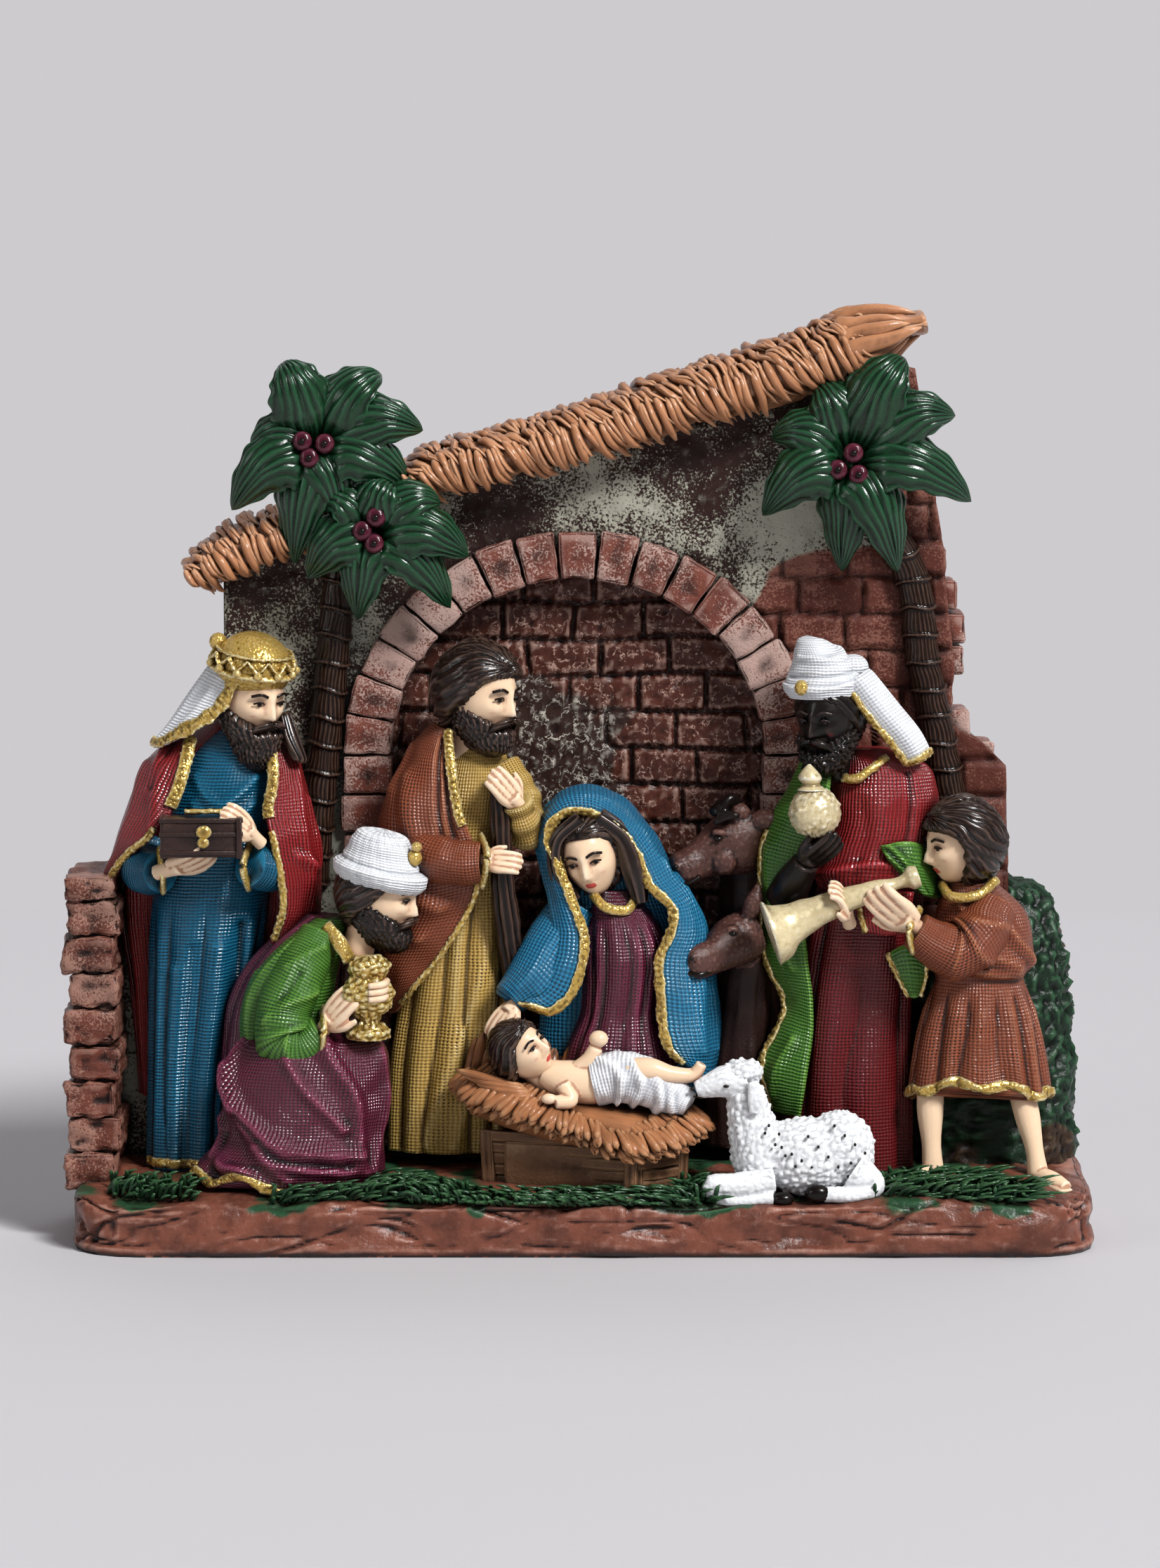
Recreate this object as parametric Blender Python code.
"""Painted resin nativity: a ruined stable with palms, eight people, a crib and three animals.

The ornament is one casting. Here each sculpted element of it is a solid of its own, set 0.3 mm
from what carries it. X runs to the right, Y away from the viewer and Z up, all in metres.
The origin is on the table, under the middle of the casting.
"""
import math

import bmesh
import bpy
from mathutils import Matrix, Vector
from mathutils.kdtree import KDTree

# Fits and facets
SEAM = 0.0003
BITE = 0.0012
SIDES = 10
LIMB_SIDES = 6
LEAF_SIDES = 4
DOME_RINGS = 2
FLAT_ANGLE = math.radians(1.5)
SHARP_ANGLE = math.radians(40)
MERGE_DISTANCE = 0.00002

# Base slab
BASE_LENGTH = 0.1660
BASE_DEPTH = 0.0500
BASE_CENTRE_X = 0.0006
BASE_LIP_HEIGHT = 0.0085
BASE_GROUND_HEIGHT = 0.0125
BASE_CORNER_RADIUS = 0.0110
BASE_BACK_CORNER_RADIUS = 0.0035
BASE_EDGE_ROUND = 0.0022
BASE_SWELL = 0.0008
BASE_SWELL_LENGTH = 0.0546
BASE_RIPPLE = 0.0005
BASE_RIPPLE_LENGTH = 0.0217
BASE_SWELL_STEPS = 28

# Ruined wall, its arch and the bricked niche
WALL_FRONT_Y = 0.0080
WALL_THICKNESS = 0.0145
WALL_LEFT_X = -0.0584
WALL_RIGHT_X = 0.0620
WALL_STEP_X = 0.0716
WALL_STEP_HEIGHT = 0.0810
WALL_FOOT_SPREAD = 0.0190
ROOF_LINE_LEFT_X = -0.0270
ROOF_LINE_LEFT_HEIGHT = 0.1225
ROOF_LINE_RIGHT_X = 0.0540
ROOF_LINE_RIGHT_HEIGHT = 0.1450
EAVE_HEIGHT = 0.1080
ARCH_HALF_WIDTH = 0.0305
ARCH_CENTRE_X = -0.0004
ARCH_SPRING_HEIGHT = 0.0780
ARCH_RISE = 0.0285
ARCH_STEPS = 20
RING_WIDTH = 0.0080
RING_PROUD = 0.0024
JOINT_WIDTH = 0.0007
JOINT_DEPTH = 0.0009
VOUSSOIR_COUNT = 17
QUOIN_HEIGHT = 0.0064
NICHE_DEPTH = 0.0055

# Brick pier at the left and mossy bank at the right
PIER_LEFT_X = -0.0836
PIER_WIDTH = 0.0092
PIER_FRONT_Y = -0.0100
PIER_HEIGHT = 0.0480
PIER_COURSE = 0.0064
PIER_STAGGER = 0.0006
BANK_LEFT_X = 0.0600
BANK_RIGHT_X = 0.0818
BANK_FRONT_Y = -0.0030
BANK_LEAN_BACK = 0.0088
BANK_HEIGHT = 0.0430

# Thatch
THATCH_FRONT_Y = -0.0020
THATCH_LEFT_END_X = -0.0285
THATCH_RIGHT_END_X = 0.0570
THATCH_PROFILE = ((0.0, 0.0008, 0.0016), (0.07, 0.0008, 0.0030), (0.22, 0.0008, 0.0041),
                  (0.45, 0.0008, 0.0045), (0.57, 0.0012, 0.0048), (0.70, 0.0012, 0.0050),
                  (0.85, 0.0031, 0.0040), (0.94, 0.0035, 0.0026), (1.0, 0.0032, 0.0014))
THATCH_TUFT_WIDTH = 0.0084
THATCH_TUFT_RELIEF = 0.0007
EAVE_THATCH_LEFT_X = -0.0645
EAVE_THATCH_LEFT_HEIGHT = 0.1070
EAVE_THATCH_RIGHT_X = -0.0440
EAVE_THATCH_RIGHT_HEIGHT = 0.1154
EAVE_THATCH_RISE = 0.0060
EAVE_THATCH_PROFILE = ((0.0, 0.0, 0.0014), (0.10, 0.0002, 0.0029), (0.25, 0.0002, 0.0039),
                       (0.50, 0.0008, 0.0042), (0.75, 0.0004, 0.0038), (1.0, 0.0, 0.0022))
EAVE_THATCH_FRONT_Y = 0.0005

# Palms
TRUNK_RADIUS = 0.0027
TRUNK_RING_LIP = 0.00025
TRUNK_RING_COUNT = 8
LEFT_TRUNK_FOOT_X = -0.0455
LEFT_TRUNK_TOP_X = -0.0392
LEFT_TRUNK_HEIGHT = 0.0990
RIGHT_TRUNK_FOOT_X = 0.0640
RIGHT_TRUNK_TOP_X = 0.0538
RIGHT_TRUNK_HEIGHT = 0.1010
TRUNK_Y = 0.0035
LEAF_HALF_WIDTH = 0.0042
LEAF_THICKNESS = 0.0022
LEAF_DROOP = 0.0050
NUT_RADIUS = 0.0019
HUB_RADIUS = 0.0046
HIGH_CROWN_X = -0.0425
HIGH_CROWN_HEIGHT = 0.1280
HIGH_CROWN_Y = -0.0030
LOW_CROWN_X = -0.0342
LOW_CROWN_HEIGHT = 0.1148
LOW_CROWN_Y = -0.0062
RIGHT_CROWN_X = 0.0431
RIGHT_CROWN_HEIGHT = 0.1261
RIGHT_CROWN_Y = -0.0030
HIGH_CROWN_LEAVES = ((114, 0.0145), (47, 0.0157), (11, 0.0168), (-26, 0.0176),
                     (-60, 0.0130), (-88, 0.0125), (211, 0.0160), (178, 0.0112))
LOW_CROWN_LEAVES = ((-18, 0.0159), (-45, 0.0180), (-68, 0.0150), (-92, 0.0151),
                    (221, 0.0134), (22, 0.0103))
RIGHT_CROWN_LEAVES = ((114, 0.0136), (63, 0.0174), (24, 0.0185), (-18, 0.0206),
                      (-40, 0.0207), (-65, 0.0189), (-89, 0.0171), (215, 0.0142))

# Standing king with the casket
KING_X = -0.0600
KING_Y = 0.0020
KING_SHOULDER_HEIGHT = 0.0660
KING_HEM_HALF_WIDTH = 0.0112
KING_HEM_HALF_DEPTH = 0.0070
KING_CHEST_HALF_WIDTH = 0.0088
KING_CHEST_HALF_DEPTH = 0.0066
KING_LEAN = 0.0030
KING_CLOAK_HALF_WIDTH = 0.0168
KING_CLOAK_HALF_DEPTH = 0.0055
KING_CLOAK_SHOULDER_HALF_WIDTH = 0.0115
KING_SLEEVE_RADIUS = 0.0031
KING_SLEEVE_FALL = 0.0270
KING_HAND_RADIUS = 0.0020
KING_HEAD_HALF_WIDTH = 0.0050
KING_HEAD_HALF_HEIGHT = 0.0068
KING_BEARD_LENGTH = 0.0092
KING_CROWN_RADIUS = 0.0062
KING_CROWN_HEIGHT = 0.0068
KING_VEIL_LENGTH = 0.0165
KING_VEIL_HALF_WIDTH = 0.0034
CASKET_LENGTH = 0.0130
CASKET_HEIGHT = 0.0072
CASKET_DEPTH = 0.0078
CASKET_HEIGHT_ABOVE_GROUND = 0.0555

# Kneeling king with the censer
KNEELER_X = -0.0440
KNEELER_Y = -0.0130
KNEELER_SKIRT_LENGTH = 0.0310
KNEELER_SKIRT_HALF_DEPTH = 0.0088
KNEELER_KNEE_HEIGHT = 0.0180
KNEELER_TRAIN_LENGTH = 0.0070
KNEELER_TORSO_HALF_WIDTH = 0.0080
KNEELER_TORSO_HALF_DEPTH = 0.0066
KNEELER_SHOULDER_HEIGHT = 0.0370
KNEELER_LEAN = 0.0110
KNEELER_SLEEVE_RADIUS = 0.0038
KNEELER_HAND_RADIUS = 0.0021
KNEELER_HEAD_HALF_WIDTH = 0.0056
KNEELER_HEAD_HALF_HEIGHT = 0.0064
KNEELER_BEARD_LENGTH = 0.0060
KNEELER_CAP_RADIUS = 0.0068
KNEELER_CAP_HEIGHT = 0.0092
CENSER_RADIUS = 0.0040
CENSER_HEIGHT = 0.0140

# Standing carpenter with the staff
JOSEPH_X = -0.0205
JOSEPH_Y = 0.0015
JOSEPH_SHOULDER_HEIGHT = 0.0670
JOSEPH_HEM_HALF_WIDTH = 0.0105
JOSEPH_HEM_HALF_DEPTH = 0.0070
JOSEPH_CHEST_HALF_WIDTH = 0.0072
JOSEPH_CHEST_HALF_DEPTH = 0.0062
JOSEPH_LEAN = 0.0035
JOSEPH_MANTLE_HALF_WIDTH = 0.0088
JOSEPH_MANTLE_HALF_DEPTH = 0.0080
JOSEPH_MANTLE_LENGTH = 0.0420
JOSEPH_SLEEVE_RADIUS = 0.0036
JOSEPH_HAND_RADIUS = 0.0023
JOSEPH_HEAD_HALF_WIDTH = 0.0052
JOSEPH_HEAD_HALF_HEIGHT = 0.0070
JOSEPH_BEARD_LENGTH = 0.0070
JOSEPH_HAIR_RADIUS = 0.0066
STAFF_RADIUS = 0.0017
STAFF_LENGTH = 0.0330

# Kneeling mother
MARY_X = 0.0060
MARY_Y = -0.0035
MARY_DRESS_HALF_WIDTH = 0.0080
MARY_DRESS_HALF_DEPTH = 0.0062
MARY_SHOULDER_HEIGHT = 0.0430
MARY_MANTLE_HALF_WIDTH = 0.0155
MARY_MANTLE_HALF_DEPTH = 0.0062
MARY_MANTLE_SHOULDER_HALF_WIDTH = 0.0118
MARY_SLEEVE_RADIUS = 0.0042
MARY_FOLD_RADIUS = 0.0048
MARY_HAND_RADIUS = 0.0021
MARY_HEAD_OFFSET = -0.0042
MARY_HEAD_HALF_WIDTH = 0.0050
MARY_HEAD_HALF_HEIGHT = 0.0066
MARY_VEIL_HALF_WIDTH = 0.0082
MARY_VEIL_HEIGHT = 0.0172

# Crib, straw and child
CRIB_X = 0.0006
CRIB_Y = -0.0095
CRIB_LENGTH = 0.0270
CRIB_WIDTH = 0.0140
CRIB_HEIGHT = 0.0100
CRIB_FLARE = 0.0012
CRIB_TURN = -24.0
STRAW_HALF_LENGTH = 0.0205
STRAW_HALF_WIDTH = 0.0112
STRAW_THICKNESS = 0.0046
STRAW_HEAD_LIFT = 0.0055
CHILD_HEAD_RADIUS = 0.0052
CHILD_BODY_RADIUS = 0.0037
CHILD_LENGTH = 0.0265

# Lamb
LAMB_X = 0.0370
LAMB_Y = -0.0150
LAMB_HALF_LENGTH = 0.0108
LAMB_HALF_HEIGHT = 0.0068
LAMB_HALF_DEPTH = 0.0062
LAMB_NECK_RADIUS = 0.0045
LAMB_NECK_HEIGHT = 0.0150
LAMB_MUZZLE_LENGTH = 0.0062
LAMB_LEG_RADIUS = 0.0019
LAMB_LEG_LENGTH = 0.0130
LAMB_HOOF_RADIUS = 0.0017

# Ox and donkey
OX_X = 0.0275
OX_Y = 0.0028
OX_HEIGHT = 0.0500
OX_HEAD_LENGTH = 0.0125
OX_HEAD_RADIUS = 0.0052
OX_MUZZLE_RADIUS = 0.0030
OX_HORN_RADIUS = 0.0019
OX_EAR_LENGTH = 0.0052
OX_NECK_RADIUS = 0.0062
DONKEY_X = 0.0275
DONKEY_Y = -0.0005
DONKEY_HEIGHT = 0.0370
DONKEY_HEAD_LENGTH = 0.0115
DONKEY_HEAD_RADIUS = 0.0046
DONKEY_MUZZLE_RADIUS = 0.0033
DONKEY_EAR_LENGTH = 0.0085
DONKEY_NECK_RADIUS = 0.0055

# Standing king with the jar
MAGUS_X = 0.0455
MAGUS_Y = 0.0015
MAGUS_SHOULDER_HEIGHT = 0.0660
MAGUS_HEM_HALF_WIDTH = 0.0112
MAGUS_HEM_HALF_DEPTH = 0.0070
MAGUS_CHEST_HALF_WIDTH = 0.0086
MAGUS_CHEST_HALF_DEPTH = 0.0064
MAGUS_LEAN = 0.0030
MAGUS_CAPE_HALF_WIDTH = 0.0050
MAGUS_CAPE_HALF_DEPTH = 0.0050
MAGUS_CAPE_OFFSET = -0.0115
MAGUS_SLEEVE_RADIUS = 0.0032
MAGUS_HAND_RADIUS = 0.0022
MAGUS_HEAD_HALF_WIDTH = 0.0056
MAGUS_HEAD_HALF_HEIGHT = 0.0068
MAGUS_BEARD_LENGTH = 0.0070
MAGUS_TURBAN_RADIUS = 0.0068
MAGUS_TURBAN_HEIGHT = 0.0075
MAGUS_TAIL_LENGTH = 0.0185
MAGUS_TAIL_HALF_WIDTH = 0.0030
JAR_RADIUS = 0.0040
JAR_LID_HEIGHT = 0.0048

# Shepherd boy with the horn
SHEPHERD_X = 0.0648
SHEPHERD_Y = -0.0065
SHEPHERD_HEM_HEIGHT = 0.0130
SHEPHERD_HEM_HALF_WIDTH = 0.0112
SHEPHERD_HEM_HALF_DEPTH = 0.0066
SHEPHERD_WAIST_HALF_WIDTH = 0.0080
SHEPHERD_WAIST_HALF_DEPTH = 0.0058
SHEPHERD_SHOULDER_HEIGHT = 0.0440
SHEPHERD_HEAD_HALF_WIDTH = 0.0050
SHEPHERD_HEAD_HALF_HEIGHT = 0.0062
SHEPHERD_HAIR_RADIUS = 0.0060
SHEPHERD_SLEEVE_RADIUS = 0.0034
SHEPHERD_HAND_RADIUS = 0.0019
SHEPHERD_HORN_FORWARD = 0.0050
SHEPHERD_LEG_RADIUS = 0.0025
SHEPHERD_STANCE = 0.0190
SHEPHERD_FOOT_LENGTH = 0.0062
HORN_LENGTH = 0.0245
HORN_BELL_RADIUS = 0.0052
HORN_TUBE_RADIUS = 0.0012
HORN_RISE = 0.0050

TOWARDS_VIEWER = Vector((0.0, -1.0, 0.0))
UP = Vector((0.0, 0.0, 1.0))

# Paint colour, roughness and metallic value
FINISHES = {
    "stone": ((0.19, 0.085, 0.058), 0.60, 0.0),
    "brick": ((0.16, 0.062, 0.042), 0.60, 0.0),
    "thatch": ((0.52, 0.22, 0.095), 0.50, 0.0),
    "bark": ((0.024, 0.016, 0.014), 0.40, 0.0),
    "palm_green": ((0.010, 0.085, 0.035), 0.28, 0.0),
    "moss": ((0.012, 0.060, 0.030), 0.60, 0.0),
    "blue": ((0.010, 0.145, 0.235), 0.38, 0.0),
    "sky_blue": ((0.020, 0.225, 0.370), 0.38, 0.0),
    "red": ((0.235, 0.014, 0.012), 0.38, 0.0),
    "burgundy": ((0.095, 0.008, 0.020), 0.35, 0.0),
    "green": ((0.100, 0.250, 0.030), 0.38, 0.0),
    "tan": ((0.480, 0.310, 0.085), 0.42, 0.0),
    "rust": ((0.230, 0.065, 0.030), 0.42, 0.0),
    "skin": ((0.740, 0.500, 0.320), 0.45, 0.0),
    "dark_skin": ((0.018, 0.012, 0.011), 0.30, 0.0),
    "white": ((0.780, 0.780, 0.800), 0.50, 0.0),
    "gold": ((0.620, 0.440, 0.130), 0.30, 1.0),
    "dark_hair": ((0.020, 0.012, 0.010), 0.35, 0.0),
    "hide": ((0.120, 0.055, 0.042), 0.40, 0.0),
    "straw": ((0.460, 0.220, 0.095), 0.50, 0.0),
    "plank": ((0.220, 0.100, 0.045), 0.50, 0.0),
    "casket_brown": ((0.030, 0.016, 0.013), 0.35, 0.0),
}


def clear_scene():
    """Removes whatever the file opened with."""
    for obj in list(bpy.data.objects):
        bpy.data.objects.remove(obj)


def material(name):
    """The named paint as a Principled BSDF, made once."""
    found = bpy.data.materials.get(name)
    if found:
        return found
    colour, roughness, metallic = FINISHES[name]
    made = bpy.data.materials.new(name)
    made.use_nodes = True
    shader = made.node_tree.nodes["Principled BSDF"]
    shader.inputs["Base Color"].default_value = (*colour, 1.0)
    shader.inputs["Roughness"].default_value = roughness
    shader.inputs["Metallic"].default_value = metallic
    return made


def new_object(name, bm, paint):
    """An object from a bmesh, in triangles, painted and linked to the scene."""
    bmesh.ops.triangulate(bm, faces=bm.faces)
    bmesh.ops.recalc_face_normals(bm, faces=bm.faces)
    mesh = bpy.data.meshes.new(name)
    bm.to_mesh(mesh)
    bm.free()
    obj = bpy.data.objects.new(name, mesh)
    bpy.context.scene.collection.objects.link(obj)
    mesh.materials.append(material(paint))
    return obj


def ring_matrix(centre, along, front, half_width, half_depth):
    """Turns a unit circle into the ellipse of a station, square to the path."""
    side = along.cross(front).normalized()
    depth = side.cross(along).normalized()
    return Matrix((
        (side.x * half_width, depth.x * half_depth, along.x, centre.x),
        (side.y * half_width, depth.y * half_depth, along.y, centre.y),
        (side.z * half_width, depth.z * half_depth, along.z, centre.z),
        (0.0, 0.0, 0.0, 1.0),
    ))


def domed(stations, start, end):
    """Adds shrinking rings past the first and last station, start and end long."""
    rows = list(stations)
    first, last = Vector(rows[0][0]), Vector(rows[-1][0])
    back = (first - Vector(rows[1][0])).normalized()
    forth = (last - Vector(rows[-2][0])).normalized()
    for step in range(1, DOME_RINGS + 1):
        turn = math.radians(75) * step / DOME_RINGS
        if start:
            at = first + back * start * math.sin(turn)
            rows.insert(0, (at, stations[0][1] * math.cos(turn), stations[0][2] * math.cos(turn)))
        if end:
            at = last + forth * end * math.sin(turn)
            rows.append((at, stations[-1][1] * math.cos(turn), stations[-1][2] * math.cos(turn)))
    return rows


def sweep(name, paint, stations, sides=SIDES, front=TOWARDS_VIEWER, start=0.0, end=0.0):
    """A closed form lofted through ellipses, each given as (centre, half width, half depth)."""
    rows = domed(stations, start, end)
    centres = [Vector(row[0]) for row in rows]
    bm = bmesh.new()
    loops = []
    for index, (_, half_width, half_depth) in enumerate(rows):
        before = centres[max(index - 1, 0)]
        after = centres[min(index + 1, len(rows) - 1)]
        along = (after - before).normalized()
        matrix = ring_matrix(centres[index], along, front, half_width, half_depth)
        closed_end = index in (0, len(rows) - 1)
        made = bmesh.ops.create_circle(bm, cap_ends=closed_end, segments=sides, radius=1.0, matrix=matrix)
        loop = {edge for vert in made["verts"] for edge in vert.link_edges}
        loops.append(list(loop))
    for lower, upper in zip(loops, loops[1:]):
        bmesh.ops.bridge_loops(bm, edges=lower + upper)
    return new_object(name, bm, paint)


def ball(name, paint, centre, radii, sides=SIDES):
    """An ellipsoid at centre."""
    bm = bmesh.new()
    matrix = Matrix.Translation(Vector(centre)) @ Matrix.Diagonal((*radii, 1.0))
    bmesh.ops.create_uvsphere(bm, u_segments=sides, v_segments=max(5, sides // 2 + 1), radius=1.0,
                              matrix=matrix)
    return new_object(name, bm, paint)


def block(name, paint, low, high, bevel=0.0):
    """A box between two corners, its edges bevelled."""
    low, high = Vector(low), Vector(high)
    size = high - low
    bm = bmesh.new()
    matrix = Matrix.Translation((low + high) / 2) @ Matrix.Diagonal((*size, 1.0))
    bmesh.ops.create_cube(bm, size=1.0, matrix=matrix)
    if bevel:
        bmesh.ops.bevel(bm, geom=bm.edges[:], offset=bevel, segments=1, affect="EDGES", profile=0.5,
                        material=-1)
    return new_object(name, bm, paint)


def plate(name, paint, outline, front_y, back_y):
    """A flat outline of (x, z) points, extruded from front_y to back_y."""
    bm = bmesh.new()
    verts = [bm.verts.new((x, front_y, z)) for x, z in outline]
    face = bm.faces.new(verts)
    made = bmesh.ops.extrude_face_region(bm, geom=[face])
    moved = [item for item in made["geom"] if isinstance(item, bmesh.types.BMVert)]
    bmesh.ops.translate(bm, verts=moved, vec=(0.0, back_y - front_y, 0.0))
    return new_object(name, bm, paint)


def volume_of(mesh):
    """The volume inside a mesh, or a negative number where it is open or inside out."""
    bm = bmesh.new()
    bm.from_mesh(mesh)
    volume = bm.calc_volume(signed=True)
    closed = bool(bm.verts) and all(edge.is_manifold for edge in bm.edges)
    bm.free()
    return volume if closed else -1.0


def combined(target, other, operation, solver):
    """The mesh of one Boolean, as the solver leaves it."""
    modifier = target.modifiers.new(operation.lower(), "BOOLEAN")
    modifier.operation = operation
    modifier.solver = solver
    modifier.object = other
    graph = bpy.context.evaluated_depsgraph_get()
    mesh = bpy.data.meshes.new_from_object(target.evaluated_get(graph))
    target.modifiers.clear()
    return mesh


def simplified(mesh):
    """Merges flat neighbours and slivers, then triangulates. A step that would open the mesh is left out."""
    whole = volume_of(mesh)
    for flat_angle, merge in ((FLAT_ANGLE, MERGE_DISTANCE), (FLAT_ANGLE / 10, MERGE_DISTANCE / 10), (0.0,
                                                                                                     0.0)):
        bm = bmesh.new()
        bm.from_mesh(mesh)
        if flat_angle:
            bmesh.ops.dissolve_limit(bm, angle_limit=flat_angle, verts=bm.verts, edges=bm.edges)
        bmesh.ops.triangulate(bm, faces=bm.faces)
        if merge:
            bmesh.ops.dissolve_degenerate(bm, dist=merge, edges=bm.edges)
            bmesh.ops.triangulate(bm, faces=bm.faces)
        trial = bpy.data.meshes.new("trial")
        bm.to_mesh(trial)
        bm.free()
        if not merge or abs(volume_of(trial) - whole) < 0.002 * whole:
            bpy.data.meshes.remove(mesh)
            return trial
        bpy.data.meshes.remove(trial)
    return mesh


def boolean(target, other, operation):
    """Applies one Boolean to target. The manifold solver steps in where the exact one loses volume."""
    own, added = volume_of(target.data), volume_of(other.data)
    slack = 0.002 * (own + added)
    least, most = (max(own, added), own + added) if operation == "UNION" else (own - added, own)
    for solver in ("EXACT", "MANIFOLD"):
        mesh = combined(target, other, operation, solver)
        if least - slack <= volume_of(mesh) <= most + slack:
            break
    old = target.data
    paint = old.materials[0]
    target.data = simplified(mesh)
    target.data.materials.clear()
    target.data.materials.append(paint)
    bpy.data.meshes.remove(old)


def fuse(target, *others):
    """Joins the others into target, so that they are one body."""
    for other in others:
        boolean(target, other, "UNION")
        bpy.data.objects.remove(other)
    return target


def cut(target, *cutters):
    """Takes the cutters out of target."""
    for cutter in cutters:
        boolean(target, cutter, "DIFFERENCE")
        bpy.data.objects.remove(cutter)
    return target


def corners_of(obj):
    """The lowest and highest corner of an object's mesh."""
    points = [vert.co for vert in obj.data.vertices]
    low = Vector([min(point[axis] for point in points) for axis in range(3)])
    high = Vector([max(point[axis] for point in points) for axis in range(3)])
    return low, high


def near(one, other, margin):
    """Whether two boxes come within margin of each other."""
    return all(one[0][axis] < other[1][axis] + margin and other[0][axis] < one[1][axis] + margin
               for axis in range(3))


def grown(obj, distance):
    """A copy of a solid with every face moved out by distance."""
    bm = bmesh.new()
    bm.from_mesh(obj.data)
    bmesh.ops.triangulate(bm, faces=bm.faces)
    bm.normal_update()
    offsets = [vert.normal * min(vert.calc_shell_factor(), 2.0) * distance for vert in bm.verts]
    for vert, offset in zip(bm.verts, offsets):
        vert.co += offset
    mesh = bpy.data.meshes.new("grown")
    bm.to_mesh(mesh)
    bm.free()
    copy = bpy.data.objects.new("grown", mesh)
    bpy.context.scene.collection.objects.link(copy)
    return copy


def keep_largest(obj):
    """Drops the crumbs that a cut leaves beside the piece itself."""
    bm = bmesh.new()
    bm.from_mesh(obj.data)
    left = set(bm.verts)
    islands = []
    while left:
        island, queue = set(), [left.pop()]
        while queue:
            vert = queue.pop()
            island.add(vert)
            for edge in vert.link_edges:
                other = edge.other_vert(vert)
                if other in left:
                    left.discard(other)
                    queue.append(other)
        islands.append(island)
    if len(islands) > 1:
        islands.sort(key=len)
        crumbs = [vert for island in islands[:-1] for vert in island]
        bmesh.ops.delete(bm, geom=crumbs, context="VERTS")
        bm.to_mesh(obj.data)
    bm.free()


def part_pinches(obj):
    """Draws apart vertices that touch without sharing an edge, so that the skin never meets itself."""
    bm = bmesh.new()
    bm.from_mesh(obj.data)
    bm.normal_update()
    bm.verts.ensure_lookup_table()
    tree = KDTree(len(bm.verts))
    for vert in bm.verts:
        tree.insert(vert.co, vert.index)
    tree.balance()
    moves = {}
    for vert in bm.verts:
        linked = {edge.other_vert(vert).index: edge.other_vert(vert).co for edge in vert.link_edges}
        touching = [index for _, index, _ in tree.find_range(vert.co,
                                                             MERGE_DISTANCE / 4) if index != vert.index]
        if any(index not in linked for index in touching):
            middle = sum(linked.values(), Vector()) / len(linked)
            moves[vert] = (middle - vert.co).normalized() * MERGE_DISTANCE
    for vert, move in moves.items():
        vert.co += move
    if moves:
        bm.to_mesh(obj.data)
    bm.free()


def nest(pieces):
    """Cuts each piece back from those ahead of it, so that a seam is left between them."""
    cutters = []
    for piece in pieces:
        box = corners_of(piece)
        own_cutter = grown(piece, SEAM)
        for cutter, cutter_box in cutters:
            if near(box, cutter_box, 0.0):
                boolean(piece, cutter, "DIFFERENCE")
        keep_largest(piece)
        part_pinches(piece)
        cutters.append((own_cutter, corners_of(own_cutter)))
    for cutter, _ in cutters:
        bpy.data.objects.remove(cutter)


def ground_at(y):
    """Height of the sloping ground at depth y, from the front lip to the foot of the wall."""
    share = (y + BASE_DEPTH / 2) / (WALL_FRONT_Y + BASE_DEPTH / 2)
    share = min(max(share, 0.0), 1.0)
    return BASE_LIP_HEIGHT + (BASE_GROUND_HEIGHT - BASE_LIP_HEIGHT) * share


def side_swell(x):
    """How far the slab's worn side swells or sinks at x."""
    return (BASE_SWELL * math.sin(math.tau * x / BASE_SWELL_LENGTH + 1.0)
            + BASE_RIPPLE * math.sin(math.tau * x / BASE_RIPPLE_LENGTH))


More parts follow.
